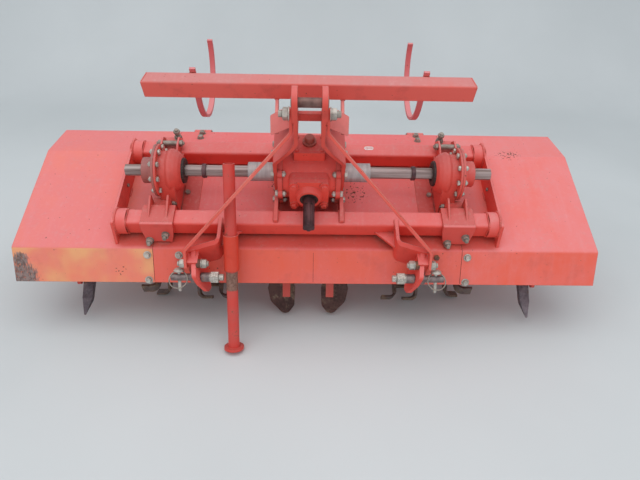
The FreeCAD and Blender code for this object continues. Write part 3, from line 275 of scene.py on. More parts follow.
def painted(name, deep, faded, fade=0.8, rust=0.5, grime_and_shade=0.4, rough=0.45, grain=0.0, waves=0.0,
            ochre=0.0, worn=(), scraped=(), tube_shadow=None):
    """Sprayed paint. Its colour goes from deep to faded with how far the surface faces up, plus
    clouds and streaks: sun fade with a painted sky sheen, held back as painted shade where other
    faces stand close. Edges are painted pale as rubbed wear and a painted highlight, more on
    upper edges; corners darken with dirt and painted shade; rust comes through on edges and in
    chips, and casting grain, dents and orange peel make the bump. Spots are (point, reach) in
    mm: chipped at worn ones, scratched to grey steel at scraped ones. A hood can have a painted
    shadow of its front tube, a deeper red strip on the deck in front of it."""
    material, wire, shader = finish(name, {"Specular IOR Level": 0.35})
    place = wire.place()
    soft = wire.softened(0.0022)
    edge = wire.edge(soft)
    open_sky = wire.openness(0.05)
    up = soft.part("Z")
    cloud = place.noise(3.6, 4.0, 0.55)
    blotch = place.noise(17.0, 4.0, 0.6)
    grit = place.noise(95.0, 3.0, 0.6)
    streak = place.stretched((52.0, 4.0, 4.0)).noise(1.0, 3.0, 0.6)
    # Sun fade and a painted sky sheen on faces that look up; the open sky factor holds it back as
    # painted shade where other faces stand close.
    sun_fade_and_sky_sheen = up * 0.85 + (cloud - 0.5) + (blotch - 0.5) * 0.5 + (streak - 0.5) * 0.3
    sun_fade_and_sky_sheen = sun_fade_and_sky_sheen.rise(-0.25, 1.0) * (open_sky.rise(0.25, 0.95) * 0.6 + 0.4)
    colour = wire.mix(sun_fade_and_sky_sheen * fade, deep, faded)
    chalk = tuple(0.35 * value + 0.65 * pale for value, pale in zip(faded, (0.86, 0.52, 0.50)))
    chalky = sun_fade_and_sky_sheen * (grit.rise(0.5, 0.75) * 0.16 + streak.rise(0.55, 0.75) * 0.08)
    colour = wire.mix(chalky, colour, chalk)
    shade = tuple(0.6 * value for value in deep)
    colour = wire.mix((1.0 - sun_fade_and_sky_sheen) * blotch.rise(0.52, 0.74) * 0.4, colour, shade)
    if ochre:
        lip = 1.0 - (up - 0.26).size().rise(0.1, 0.3)
        patch = place.noise(6.5, 3.0, 0.55).rise(0.34, 0.64)
        colour = wire.mix(lip * patch * ochre, colour, (0.86, 0.43, 0.19))
    # Painted shadow of the front tube: a deeper red strip on the deck between the front fold and
    # the tube.
    if tube_shadow:
        rearward = place.along(packed((0, 0, 0)), to_packed[:, 1])
        strip = (rearward + (blotch - 0.5) * 0.012).rise(-0.006, 0.014)
        strip = strip * (1.0 - rearward.rise(0.052, 0.060))
        strip = strip * (1.0 - place.part("X").size().rise(0.555, 0.60))
        colour = wire.mix(strip * 0.85, colour, tube_shadow)
    # Dirt and painted shade: darker brown where other faces stand close.
    corner = (1.0 - open_sky).rise(0.30, 0.92)
    dirt_and_corner_shade = corner * blotch.rise(0.34, 0.62) * grime_and_shade
    colour = wire.mix(dirt_and_corner_shade, colour, (0.17, 0.085, 0.06))
    dust = up.rise(0.45, 1.0) * (blotch * 0.6 + grit * 0.4).rise(0.50, 0.68) * (0.32 * grime_and_shade)
    colour = wire.mix(dust, colour, (0.50, 0.36, 0.31))
    patch = cloud.rise(0.48, 0.68) * 0.03
    for spot, reach in worn:
        patch = patch + place.near(packed(spot), reach / 1000.0) * 0.18
    chip = (place.noise(150.0, 2.0, 0.45) + patch * (0.5 + rust)).rise(0.75, 0.775)
    bare = (edge + (blotch - 0.5) * 0.22 + (grit - 0.5) * 0.25).rise(0.16, 0.30)
    rusty = chip.most(bare * min(1.0, rust + 0.2))
    # Pale edges: rubbed wear and a painted highlight, stronger on upper edges.
    rubbed = (edge + (grit - 0.5) * 0.12).rise(0.05, 0.15) * (up * 0.3 + 0.3)
    colour = wire.mix(rubbed, colour, (0.86, 0.42, 0.36))
    for spot, reach in scraped:
        grey = wire.mix(grit.rise(0.35, 0.65), (0.105, 0.07, 0.065), (0.29, 0.21, 0.195))
        scratch = place.stretched((300.0, 60.0, 60.0)).noise(1.0, 4.0, 0.65)
        scratch = place.near(packed(spot), reach / 1000.0) * 0.44 + scratch * 0.5 + grit * 0.3
        colour = wire.mix(scratch.rise(0.66, 0.84), colour, grey)
    brown = wire.mix(grit.rise(0.35, 0.65), (0.075, 0.03, 0.022), (0.24, 0.10, 0.05))
    colour = wire.mix(rusty, colour, brown)
    height = (place.noise(650.0, 2.0) * 0.10 + place.noise(260.0, 3.0, 0.6) * grain - rusty * 0.35
              + blotch * (0.5 * grain) + place.noise(4.5, 2.0) * waves)
    feed(shader, Base_Color=colour, Normal=wire.bump(0.5, 0.0012, height, soft),
         Roughness=sun_fade_and_sky_sheen * 0.16 + (blotch - 0.5) * 0.2 + rusty * 0.25 + rough)
    return material


def dress(material, *nodes):
    """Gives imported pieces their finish."""
    for node in nodes:
        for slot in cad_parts[node].material_slots:
            slot.material = material


def pair(*names):
    """Both sides' names."""
    return [name + side for name in names for side in ("_right", "_left")]


wing_paint = painted(
    "wing_paint", (0.89, 0.105, 0.042), (0.83, 0.24, 0.24), fade=1.0, rust=0.3, grime_and_shade=0.35,
    waves=2.2, worn=[((678, 402, 0), 55), ((722, 410, 0), 40), ((560, 300, 0), 25)],
    tube_shadow=TUBE_SHADOW_RED)
left_paint = painted(
    "left_wing_paint", (0.90, 0.235, 0.13), (0.80, 0.215, 0.215), fade=1.0, rust=0.3, grime_and_shade=0.35,
    waves=2.2, ochre=0.85, worn=[((-570, -44, -50), 30)],
    scraped=[((-864, -60, -68), 80), ((-868, -26, -30), 44)], tube_shadow=TUBE_SHADOW_RED)
# The centre panel is darker than the wings partly as painted shade of the tubes and bar above it.
centre_paint = painted(
    "centre_panel_paint", (0.84, 0.12, 0.06), (0.80, 0.185, 0.19), fade=0.95, rust=0.35, grime_and_shade=0.6,
    rough=0.48, waves=2.2, worn=[((150, 220, 0), 60), ((-110, 250, 0), 40)], tube_shadow=TUBE_SHADOW_RED)
dress(wing_paint, "hood_wing_right")
dress(left_paint, "hood_wing_left")
dress(centre_paint, "hood_centre")

# Panel seams
# The gap beside each wing, packed with dirt, and the butt joint in the middle of the lip:
# a thin dark line that follows the hood's section.
LIP_SLOPE = math.radians(48.6)
LIP_DOWN = np.array([-math.cos(LIP_SLOPE), -math.sin(LIP_SLOPE)])
LIP_OUT = np.array([LIP_DOWN[1], -LIP_DOWN[0]])
BEVEL_SLOPE = math.radians(20.4)
BEVEL_DOWN = np.array([math.cos(BEVEL_SLOPE), -math.sin(BEVEL_SLOPE)])
BEVEL_OUT = np.array([-BEVEL_DOWN[1], BEVEL_DOWN[0]])
DECK = 390.0
SEAM_FRONT, SEAM_REAR = -105, 550
WING_SEAM = 470
LIP_JOINT = 15
SHARP = math.radians(35)
luck = np.random.default_rng(11)


def carried(path, radius, sides=8, closed=False):
    """A round section carried along a path. A point of it at angle a is the path's point plus
    radius times (cos a across + sin a above), both square to the path's direction there."""
    path = np.asarray(path, float)
    ahead = np.roll(path, -1, 0) - np.roll(path, 1, 0) if closed else np.gradient(path, axis=0)
    ahead = ahead / np.linalg.norm(ahead, axis=1, keepdims=True)
    lean = np.eye(3)[np.argmin(np.ptp(path, axis=0))]
    side = np.cross(ahead, lean)
    side = side / np.linalg.norm(side, axis=1, keepdims=True)
    above = np.cross(side, ahead)
    angle = (np.arange(sides) * (2 * np.pi / sides))[None, :, None]
    reach = np.broadcast_to(radius, len(path))[:, None, None]
    tube = path[:, None] + reach * (np.cos(angle) * side[:, None] + np.sin(angle) * above[:, None])
    return np.concatenate([tube, tube[:1]]) if closed else tube


def piece(name, grids, material, body="frame"):
    """One mesh from grids of points (rows, columns, 3) in mm on the level machine. Columns close
    into rings. Rows close where the last repeats the first, and else each end gets a face. It
    rides on the frame unless the call says otherwise, in the material the call gives."""
    spots, corners, counts, base = [], [], [], 0
    for grid in grids:
        looped = np.allclose(grid[0], grid[-1])
        grid = grid[:-1] if looped else grid
        index = base + np.arange(grid.shape[0] * grid.shape[1]).reshape(grid.shape[:2])
        rows, later = (index, np.roll(index, -1, 0)) if looped else (index[:-1], index[1:])
        quads = np.stack([rows, np.roll(rows, -1, 1), np.roll(later, -1, 1), later], -1)
        corners.append(quads.ravel())
        counts.append(np.full(rows.size, 4))
        if not looped:
            corners += [index[0][::-1], index[-1]]
            counts.append(np.full(2, grid.shape[1]))
        spots.append(grid.reshape(-1, 3))
        base += index.size
    spots = packed(np.concatenate(spots))
    corners = np.concatenate(corners)
    counts = np.concatenate(counts)
    mesh = bpy.data.meshes.new(name)
    mesh.vertices.add(len(spots))
    mesh.vertices.foreach_set("co", spots.ravel())
    mesh.loops.add(len(corners))
    mesh.loops.foreach_set("vertex_index", corners)
    mesh.polygons.add(len(counts))
    mesh.polygons.foreach_set("loop_start", np.cumsum(counts) - counts)
    mesh.update(calc_edges=True)
    shell = bmesh.new()
    shell.from_mesh(mesh)
    bmesh.ops.recalc_face_normals(shell, faces=shell.faces)
    shell.to_mesh(mesh)
    shell.free()
    mesh.materials.append(material)
    mesh.shade_smooth()
    mesh.set_sharp_from_angle(angle=SHARP)
    made = bpy.data.objects.new(name, mesh)
    bpy.context.collection.objects.link(made)
    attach(made, body)


def over_hood(x, start, end, rise=0.0):
    """Path over the hood's outer face at x, from start to end along its section, where 0 is the
    front fold and the lip is negative: the straight section with each fold's corner rounded."""
    run = np.arange(start, end, 5.0)[:, None]
    lip = LIP_DOWN * -run + LIP_OUT * rise
    deck = np.concatenate([run, 0 * run + rise], 1)
    bevel = [DECK, 0] + BEVEL_DOWN * (run - DECK) + BEVEL_OUT * rise
    section = np.where(run < 0, lip, np.where(run < DECK, deck, bevel))
    rounded = section.copy()
    rounded[1:-1] = (section[:-2] + 2 * section[1:-1] + section[2:]) / 4
    return np.concatenate([0 * run + x, rounded], 1)


seam_dirt = speckled("seam_dirt", (0.15, 0.035, 0.026), (0.34, 0.08, 0.055), 140.0,
                     rough=(0.7, 0.9), specular=0.2)
seams = [carried(over_hood(x, SEAM_FRONT, SEAM_REAR), 0.8, 6) for x in (-WING_SEAM, WING_SEAM)]
seams.append(carried(over_hood(LIP_JOINT, SEAM_FRONT, -5, -0.2), 0.65, 6))
piece("hood_seams", seams, seam_dirt)

# Hood bolts
# Zinc plated M10 bolts on broad washers hold the wings to the centre panel; the one
# above the right bracket has lost its washer and rusted.
WING_BOLTS = 487
BRACKET_BOLTS = 392
HINGE_BOLTS = 392


def turned(rows, sides=24):
    """Turned shape, z along its axis, from (height, radius, flats) rows. At angle a the radius is
    the row's own or, if less, half the flats over the cosine of the angle from their middle."""
    rise, radius, flats = np.array([(*row, 0.0)[:3] for row in rows], float).T[..., None]
    angle = np.arange(sides) * (2 * np.pi / sides)
    fold = angle % (np.pi / 3) - np.pi / 6
    reach = np.where(flats > 0, np.minimum(radius, flats / 2 / np.cos(fold)), radius)
    return np.stack([reach * np.cos(angle), reach * np.sin(angle), rise + 0 * reach], -1)


def stood(shape, feet, heading):
    """Copies of a shape on their feet with its z along a heading, each turned by its own angle:
    the shape times the rows (across, above, heading), plus the foot."""
    heading = np.asarray(heading, float) / np.linalg.norm(heading)
    across = np.cross(heading, np.eye(3)[np.argmin(np.abs(heading))])
    across /= np.linalg.norm(across)
    above = np.cross(heading, across)
    copies = []
    for foot in np.atleast_2d(np.asarray(feet, float)):
        spin = luck.uniform(0, 2 * np.pi)
        basis = np.array([math.cos(spin) * across + math.sin(spin) * above,
                          math.cos(spin) * above - math.sin(spin) * across, heading])
        copies.append(shape @ basis + foot)
    return copies


def hexed(flats, tall, washer=0.0, stud=0.0, across=0.0):
    """Rows of a hexagon head or nut with chamfered corners, on a washer of that diameter, and of
    the threaded stud that stands out of it, whose radius swings once every 1.6 mm."""
    corner = flats / math.sqrt(3)
    base = 0.08 * washer
    top = base + tall
    rows = []
    if washer:
        rows = [(-0.6, washer / 2), (base - 0.5, washer / 2), (base, washer / 2 - 0.5)]
    rows += [(base - 0.5 * (not washer), 0.93 * corner, flats),
             (base + 0.06 * flats, corner, flats),
             (top - 0.08 * flats, corner, flats),
             (top, 0.47 * flats)]
    if stud:
        rows += [(top + step, across / 2 - 0.45 * (i % 2))
                 for i, step in enumerate(np.arange(0, stud, 0.8))]
        rows.append((top + stud, across / 2 - 1.0))
    else:
        rows.append((top - 0.4, 0.36 * flats))
    return rows


def steel(name, dark, light, rust, metallic=0.6, rough=0.4, drawn=None, plated=()):
    """Bare or plated steel: two tones in clouds, drawn out along the bar where drawn says so,
    with rust on its edges and in patches, and bright zinc at plated (point, reach) spots in mm."""
    material, wire, shader = finish(name, {"Specular IOR Level": 0.5})
    place = wire.place()
    soft = wire.softened(0.001)
    edge = wire.edge(soft)
    cloud = place.stretched(drawn or (1.0, 1.0, 1.0)).noise(1.0 if drawn else 45.0, 4.0, 0.6)
    speck = place.noise(240.0, 3.0, 0.6)
    colour = wire.mix(cloud.rise(0.32, 0.68), dark, light)
    for spot, reach in plated:
        bright = wire.mix(speck.rise(0.3, 0.7), (0.34, 0.30, 0.26), (0.66, 0.62, 0.56))
        colour = wire.mix(place.near(packed(spot), reach / 1000.0).rise(0.0, 0.2), colour, bright)
    # Dirt and painted shade: a dark rim where other faces stand within a few mm, as round bolt
    # heads.
    corner = (1.0 - wire.openness(0.0035)).rise(0.2, 0.55)
    colour = wire.mix(corner * 0.85, colour, (0.075, 0.038, 0.03))
    bare = (place.noise(30.0, 4.0, 0.6) - 0.5) * 1.6 + (speck - 0.5) * 0.9 + edge * 0.6
    bare = bare.rise(0.55 - 0.8 * rust, 0.85 - 0.8 * rust)
    brown = wire.mix(speck.rise(0.35, 0.65), (0.10, 0.042, 0.026), (0.27, 0.125, 0.065))
    colour = wire.mix(bare, colour, brown)
    height = speck * 0.4 + bare * 0.4 + cloud * 0.3
    feed(shader, Base_Color=colour, Normal=wire.bump(0.45, 0.0006, height, soft),
         Metallic=(1.0 - bare) * metallic, Roughness=cloud * 0.18 + bare * 0.35 + rough)
    return material


def on_lip(x, down, off=0.0):
    """Point at x on the lip, down from the front fold and off its outer face, mm."""
    return np.array([x, *(LIP_DOWN * down + LIP_OUT * off)])


def on_bevel(x, down, off=0.0):
    """Point at x on the rear bevel, down from the rear fold and off its outer face, mm."""
    return np.array([x, *([DECK, 0] + BEVEL_DOWN * down + BEVEL_OUT * off)])


zinc = steel("zinc_plate", (0.36, 0.33, 0.29), (0.62, 0.58, 0.52), rust=0.18, metallic=0.45,
             rough=0.36)
old_zinc = steel("dull_zinc", (0.24, 0.20, 0.17), (0.42, 0.37, 0.32), rust=0.38, metallic=0.4,
                 rough=0.45)
rusty_bolt = steel("rusty_bolt", (0.13, 0.06, 0.045), (0.26, 0.14, 0.09), rust=0.75, metallic=0.3,
                   rough=0.6)
lip_out = np.array([0.0, *LIP_OUT])
bevel_out = np.array([0.0, *BEVEL_OUT])
lip_spots = [on_lip(x, down) for x in (-WING_BOLTS, WING_BOLTS) for down in (21, 101)]
lip_spots.append(on_lip(-BRACKET_BOLTS, 21))
piece("lip_bolts", stood(turned(hexed(14, 8, washer=24)), lip_spots, lip_out), zinc)
piece("lip_bolt_rusty", stood(turned(hexed(15, 8)), on_lip(BRACKET_BOLTS, 21), lip_out), rusty_bolt)
hinge_spots = [on_bevel(x, down) for x in (-HINGE_BOLTS, HINGE_BOLTS) for down in (150, 112)]
piece("hinge_bolts", stood(turned(hexed(17, 9, washer=24)), hinge_spots, bevel_out), old_zinc)
wing_spots = [on_bevel(x, down) for x in (-WING_BOLTS, WING_BOLTS) for down in (12, 72)]
piece("wing_bolts", stood(turned(hexed(15, 7, washer=24)), wing_spots, bevel_out), zinc)

# Deck plates
# A 3 mm steel doubling plate stiffens the deck inside each head's slot. It is held by one
# bolt and sprayed with the hood.
PLATE_INNER, PLATE_OUTER = 350, 402.5
DECK_BOLTS = 391


def slab(low, high, corner, edge):
    """Flat plate between two corners with rounded sides: a row's outline is the four corner
    centres plus (corner less the row's inset) times (cos a, sin a)."""
    low, high = np.asarray(low, float), np.asarray(high, float)
    quarter = np.linspace(0, np.pi / 2, 5)
    angle = np.concatenate([quarter + start for start in (0, np.pi / 2, np.pi, np.pi * 3 / 2)])
    left, right = low[0] + corner, high[0] - corner
    front, rear = low[1] + corner, high[1] - corner
    centre_x = np.repeat([right, left, left, right], 5)
    centre_y = np.repeat([rear, rear, front, front], 5)
    inset = np.array([0.0, 0.0, 0.3 * edge, edge])[:, None]
    rise = np.array([low[2], high[2] - edge, high[2] - 0.3 * edge, high[2]])[:, None]
    reach = corner - inset
    return np.stack([centre_x + reach * np.cos(angle), centre_y + reach * np.sin(angle),
                     rise + 0 * angle], -1)


deck_paint = painted("deck_plate_paint", (0.66, 0.085, 0.06), (0.60, 0.125, 0.12), rust=0.4,
                     grime_and_shade=0.7, rough=0.48)
for side, name in ((1, "right"), (-1, "left")):
    left, right = sorted((side * PLATE_INNER, side * PLATE_OUTER))
    plate = slab((left, 101, -0.5), (right, 322, 3), corner=6, edge=0.8)
    piece("deck_plate_" + name, [plate], deck_paint)
spots = [(x, SHAFT[1], 3) for x in (-DECK_BOLTS, DECK_BOLTS)]
piece("deck_bolts", stood(turned(hexed(15, 7)), spots, (0, 0, 1)), old_zinc)

# Frame
# Two 55 mm square tubes let into collars on plasma cut side plates, all welded up and
# painted as one. Each weld shows the ripples of its runs.
FRONT_TUBE, REAR_TUBE = 44, 324
TUBE = 55
TUBE_LOW = 12
COLLAR_INNER, PLATE_INSIDE, PLATE_OUTSIDE = 542.6, 574.4, 583.0
PLATE_FEET = (22, 165, 300)


def bead(points, size, closed=False):
    """Fillet weld along a run of points: its radius is the size, plus a ninth of it times the
    cosine of the way along over the 3.4 mm between ripples, plus a little chance."""
    points = np.asarray(points, float)
    points = np.concatenate([points, points[:1]]) if closed else points
    gone = np.concatenate([[0.0], np.cumsum(np.linalg.norm(np.diff(points, axis=0), axis=1))])
    count = max(int(gone[-1] / 1.6), 4)
    run = np.linspace(0, gone[-1], count, endpoint=not closed)
    path = np.stack([np.interp(run, gone, points[:, axis]) for axis in range(3)], 1)
    radius = size * (1 + 0.11 * np.cos(run * 2 * np.pi / 3.4) + luck.normal(0, 0.05, count))
    if not closed:
        radius = radius * np.minimum(1.0, 0.45 + np.minimum(run, gone[-1] - run) / (2.5 * size))
    return carried(path, radius, 8, closed)


def welded(size, *runs, closed=False):
    """A bead along each run of points, and along its mirror image across the centre line."""
    return [bead(np.asarray(run, float) * mirror, size, closed)
            for run in runs for mirror in ([1, 1, 1], [-1, 1, 1])]


def circle(middle, radius, across=(0, 1, 0), above=(0, 0, 1), count=48, first=0.0):
    """Points of a circle: the middle plus radius times (cos a across + sin a above)."""
    angle = (first + np.arange(count) * (2 * np.pi / count))[:, None]
    return middle + radius * (np.cos(angle) * across + np.sin(angle) * above)


frame_paint = painted("frame_paint", (0.82, 0.082, 0.058), (0.78, 0.205, 0.20), fade=0.95,
                      rust=0.35, grime_and_shade=0.5, rough=0.43, waves=0.4)
weld_paint = painted("weld_paint", (0.72, 0.068, 0.045), (0.70, 0.17, 0.16), grime_and_shade=0.8, rough=0.5,
                     grain=0.6)
dress(frame_paint, "front_tube", "rear_tube", *pair("side_plate"))
outline = slab((-1, -1, 0), (TUBE + 1, TUBE + 1, 1), corner=9, edge=0.1)[0][:, :2]
beads = []
for front in (FRONT_TUBE, REAR_TUBE):
    square = np.insert(outline + [front, TUBE_LOW], 0, COLLAR_INNER, axis=1)
    middle = np.array([0, front + TUBE / 2, TUBE_LOW + TUBE / 2])
    beads += welded(3.0, square, closed=True)
    beads += welded(3.4, circle(middle + [PLATE_INSIDE, 0, 0], 39.4), closed=True)
    beads += welded(2.2, circle(middle + [PLATE_OUTSIDE, 0, 0], 31.0), closed=True)
for foot in PLATE_FEET:
    beads += welded(3.0, [(584, foot, 0.8), (584, foot + 68, 0.8)],
                    [(574, foot + 30, 0.8), (574, foot + 66, 0.8)])
piece("frame_welds", beads, weld_paint)
plate_bolt = turned(hexed(10, 5))
piece("side_plate_bolts", stood(plate_bolt, [(575, SHAFT[1], 37)], (-1, 0, 0))
      + stood(plate_bolt, [(-575, SHAFT[1], 37)], (1, 0, 0)), old_zinc)

# Oval plate
# A small blank oval of bright pressed sheet riveted on the rear tube, with a dull field
# inside its rim.
bright_rim = speckled("bright_rim", (0.86, 0.84, 0.82), (0.62, 0.55, 0.52), 300.0,
                      rough=(0.25, 0.45), specular=0.6, low=0.35, metallic=0.25)
dull_field = speckled("dull_field", (0.78, 0.56, 0.55), (0.66, 0.36, 0.35), 220.0,
                      rough=(0.5, 0.7), specular=0.3)
rim = slab((181, 349, 66.6), (212, 364, 67.9), corner=7.4, edge=0.5)
field = slab((184, 352, 67.4), (209, 361, 68.2), corner=4.4, edge=0.3)
piece("oval_plate", [rim], bright_rim)
piece("oval_field", [field], dull_field)

# Gearbox
# Sand cast case with two side covers and a turned input flange, sprayed after assembly.
# Eight bolts a side go through cast ears, covers and mast plates.
EAR_FACE = 79.4
EAR_CIRCLE = 84.0
MAST_FACE = 104.0
COVER_FACE = 93.0
FLANGE_FRONT = 117
FLANGE_BOLTS = 45
cast_paint = painted("casting_paint", (0.90, 0.09, 0.062), (0.64, 0.115, 0.105), fade=0.9,
                     grime_and_shade=0.75, rough=0.46, grain=0.5)
cover_paint = painted("cover_paint", (0.74, 0.075, 0.055), (0.62, 0.14, 0.13), fade=0.9, rust=0.6,
                      grime_and_shade=0.8, rough=0.46, grain=0.4)
cap_paint = painted("cap_paint", (0.38, 0.09, 0.065), (0.42, 0.145, 0.125), rust=0.9, grime_and_shade=0.9,
                    rough=0.5, grain=0.3)
dress(cast_paint, "gearbox_case", "input_flange")
dress(cover_paint, *pair("gearbox_cover"))
dress(cap_paint, "filler_cap")
ear = turned([(-0.5, 11.5), (0, 12.5), (12.2, 12.5), (13.2, 11.5)])
ear_nut = turned(hexed(16, 9, stud=2.5, across=10))
bolt_head = turned(hexed(17, 8))
ears, bolts = [], []
for side in (1, -1):
    spots = circle(SHAFT, EAR_CIRCLE, count=8)
    on_ears = spots + [side * EAR_FACE, 0, 0]
    ears += stood(ear, on_ears, (side, 0, 0))
    bolts += stood(ear_nut, on_ears, (-side, 0, 0))
    spots[:, 0] = side * MAST_FACE
    spots[4, 0] = side * COVER_FACE  # the foremost, which the mast plate doesn't reach
    bolts += stood(bolt_head, spots, (side, 0, 0))
piece("gearbox_ears", ears, cover_paint)
piece("gearbox_bolts", bolts, zinc)
spots = [(x, FLANGE_FRONT, SHAFT[2] + z) for x in (-FLANGE_BOLTS, FLANGE_BOLTS)
         for z in (-FLANGE_BOLTS, FLANGE_BOLTS)]
piece("flange_bolts", stood(bolt_head, spots, (0, -1, 0)), cast_paint)
spots = [(x, y, 220) for x in (-36, 36) for y in (200, 252)]
lid_bolts = stood(turned(hexed(10, 5)), spots, (0, 0, 1))
piece("case_lid_bolts", lid_bolts, cast_paint)

# Shaft seals
# Moulded black rubber rings, pressed into the input flange and into the inner end of
# each bell.
INPUT_MOUTH = 109
BELL_MOUTH = 385.4
rubber = speckled("seal_rubber", (0.022, 0.018, 0.018), (0.10, 0.055, 0.045), 260.0,
                  rough=(0.4, 0.7), specular=0.35, low=0.4, high=0.75)
input_seal = turned([(0.3, 18.2), (2.0, 18.0), (3.4, 19.4), (3.8, 22.0), (4.2, 26.2), (0.3, 26.8),
                     (0.3, 18.2)], 40)
piece("input_seal", stood(input_seal, [(0, INPUT_MOUTH, SHAFT[2])], (0, -1, 0)), rubber)
bell_seal = turned([(0.0, 19.6), (6.0, 19.6), (8.4, 21.5), (9.0, 25.0), (8.0, 35.0), (6.4, 38.4),
                    (0.0, 39.0), (0.0, 19.6)], 48)
piece("bell_seals", stood(bell_seal, SHAFT + [BELL_MOUTH, 0, 0], (-1, 0, 0))
      + stood(bell_seal, SHAFT - [BELL_MOUTH, 0, 0], (1, 0, 0)), rubber)

# Drive line
# Drawn hexagon bar, brown from the weather, in two turned couplings with set screws; the
# splined stub is greased and dark.
SLEEVE_RADIUS = 29.0
hex_steel = steel("hex_steel", (0.21, 0.14, 0.125), (0.46, 0.37, 0.355), rust=0.22, metallic=0.5,
                  rough=0.36, drawn=(4.0, 110.0, 110.0))
sleeve_steel = steel("sleeve_steel", (0.38, 0.335, 0.33), (0.50, 0.455, 0.45), rust=0.2,
                     metallic=0.4, rough=0.42, drawn=(110.0, 14.0, 14.0))
stub_steel = steel("stub_steel", (0.055, 0.026, 0.03), (0.14, 0.07, 0.075), rust=0.16,
                   metallic=0.45, rough=0.32, drawn=(30.0, 6.0, 30.0))
dress(hex_steel, "hex_shaft")
dress(sleeve_steel, *pair("shaft_sleeve"))
dress(stub_steel, "input_shaft")
collar = turned([(0, 17.2), (0, 21.0), (0.8, 21.8), (11.2, 21.8), (12, 21.0), (12, 17.2),
                 (0, 17.2)], 36)
piece("shaft_collars", stood(collar, [SHAFT + [314, 0, 0], SHAFT - [326, 0, 0]], (1, 0, 0)),
      stub_steel, "cross_shaft")
screw = turned([(-1, 5.0), (0.8, 5.0), (1.2, 4.4), (1.2, 2.6, 5.0), (-0.8, 2.5, 5.0)])
screw_out = np.array([0.0, -0.6, 0.8])
screws = [SHAFT + [x, 0, 0] + SLEEVE_RADIUS * screw_out for x in (-160, 160)]
piece("sleeve_screws", stood(screw, screws, screw_out), stub_steel, "cross_shaft")

# Mast
# Two bent 11 mm steel plates, welded to the frame tubes and joined by a bridge below the
# top link's ears, where the braces are bolted on.
MAST_INNER, MAST_OUTER = 92.4, 104.6
mast_paint = painted("mast_paint", (0.74, 0.078, 0.055), (0.66, 0.155, 0.145), fade=0.9, rust=0.4,
                     grime_and_shade=0.6, waves=0.3)
dress(mast_paint, "mast_bridge", *pair("mast_side"))
beads = []
for x in (MAST_OUTER, MAST_INNER):
    beads += welded(3.2, [(x, 53, 67.6), (x, 98, 67.6), (x, 99.6, 64), (x, 99.6, 15)],
                    [(x, 323.4, 15), (x, 323.4, 65), (x, 325, 67.6), (x, 368, 67.6)])
beads += welded(2.6, [(30.2, 175.6, 360), (30.2, 175.6, 381)],
                [(30.2, 188.4, 360), (30.2, 188.4, 381)])
beads += welded(2.8, [(51.6, 205, 310), (45.6, 212, 318.5), (42.6, 217, 326), (42.4, 230, 343)])
piece("mast_welds", beads, weld_paint)
pin_steel = steel("pin_steel", (0.135, 0.07, 0.06), (0.25, 0.145, 0.125), rust=0.3, metallic=0.5,
                  drawn=(40.0, 40.0, 40.0))
dress(pin_steel, "top_link_pin")
clip = turned([(0, 10.2), (0, 15.5), (0.5, 16.2), (1.6, 16.2), (2.1, 15.5), (2.1, 10.2),
               (0, 10.2)], 32)
piece("top_pin_clips", stood(clip, [(45.7, 162, 434), (-47.8, 162, 434)], (1, 0, 0)), old_zinc)
brace_nut = turned(hexed(30, 15, washer=38, stud=11, across=19))
piece("brace_nuts", stood(brace_nut, [(53.4, 178, 381)], (1, 0, 0))
      + stood(brace_nut, [(-53.4, 178, 381)], (-1, 0, 0)), zinc)

# Braces
# Flat steel bars, bolted from the mast's top down to the link brackets, with pale edges,
# most along the upper one: rubbed wear and a painted highlight.
brace_paint = painted("brace_paint", (0.78, 0.09, 0.065), (0.80, 0.25, 0.20), fade=1.0, rust=0.6)
dress(brace_paint, *pair("brace"))

# Cross bar
# Box tube with capped, slanted ends on two wing plates, and a bent flat hook welded to
# its back on each side.
BAR_BACK = 311.6
BAR_END, END_SLANT = 449.4, 10 / 42
bar_paint = painted("bar_paint", (0.82, 0.13, 0.10), (0.60, 0.215, 0.205), fade=1.0, rust=0.4,
                    rough=0.46, waves=0.3)
hook_paint = painted("hook_paint", (0.70, 0.15, 0.155), (0.72, 0.25, 0.26), fade=0.9, rust=0.7,
                     rough=0.47)
wing_plate_paint = painted("wing_plate_paint", (0.84, 0.235, 0.21), (0.78, 0.27, 0.255), fade=0.9,
                           rough=0.47)
dress(bar_paint, "cross_bar")
dress(hook_paint, *pair("hook"))
dress(wing_plate_paint, *pair("bar_wing"))
beads = []
for x in (86.2, 95.8):
    beads += welded(2.8, [(x, 270, 346.6), (x, 309, 346.6)])
for x in (309.4, 326.6):
    beads += welded(2.6, [(x, BAR_BACK, 350), (x, BAR_BACK, 399)])
beads += welded(2.2, [(311, 312, 401.6), (325, 312, 401.6)])
tall, deep = slab((0, 0, 0), (54, 38, 1), corner=5, edge=0.1)[0][:, :2].T
end_cap = np.stack([BAR_END - deep * END_SLANT, deep + 271, tall + 347], 1)
beads += welded(1.4, end_cap, closed=True)
piece("bar_welds", beads, weld_paint)

# Lower link brackets
# Flame cut plates welded to the front tube and the lip, each with a slanting lug, a
# spacer block and a bolt through the foot of the brace.
WEB_INNER, WEB_OUTER = 256.6, 267.4
BRACE_FOOT = np.array([0, -64, 20])
bracket_paint = painted("bracket_paint", (0.80, 0.072, 0.05), (0.80, 0.20, 0.19), fade=0.95,
                        grime_and_shade=0.6, rough=0.44, waves=0.3)
dress(bracket_paint, *pair("link_bracket"))
beads = []
for x in (WEB_INNER, WEB_OUTER):
    beads += welded(3.0, [(x, 43.4, 15), (x, 43.4, 60), (x, 47, 66), (x, 52, 67.8), (x, 65, 67.8)])
beads += welded(3.2, [on_lip(300, 10, 1), on_lip(322, 30, 1), on_lip(322, 105, 1)])
piece("bracket_welds", beads, weld_paint)
outer_nut = turned(hexed(24, 13, washer=27, stud=6, across=16))
inner_nut = turned(hexed(24, 14, washer=28, stud=5, across=16))
bushing = turned([(-0.5, 13.0), (10.5, 13.0), (12.4, 11.8)], 20)
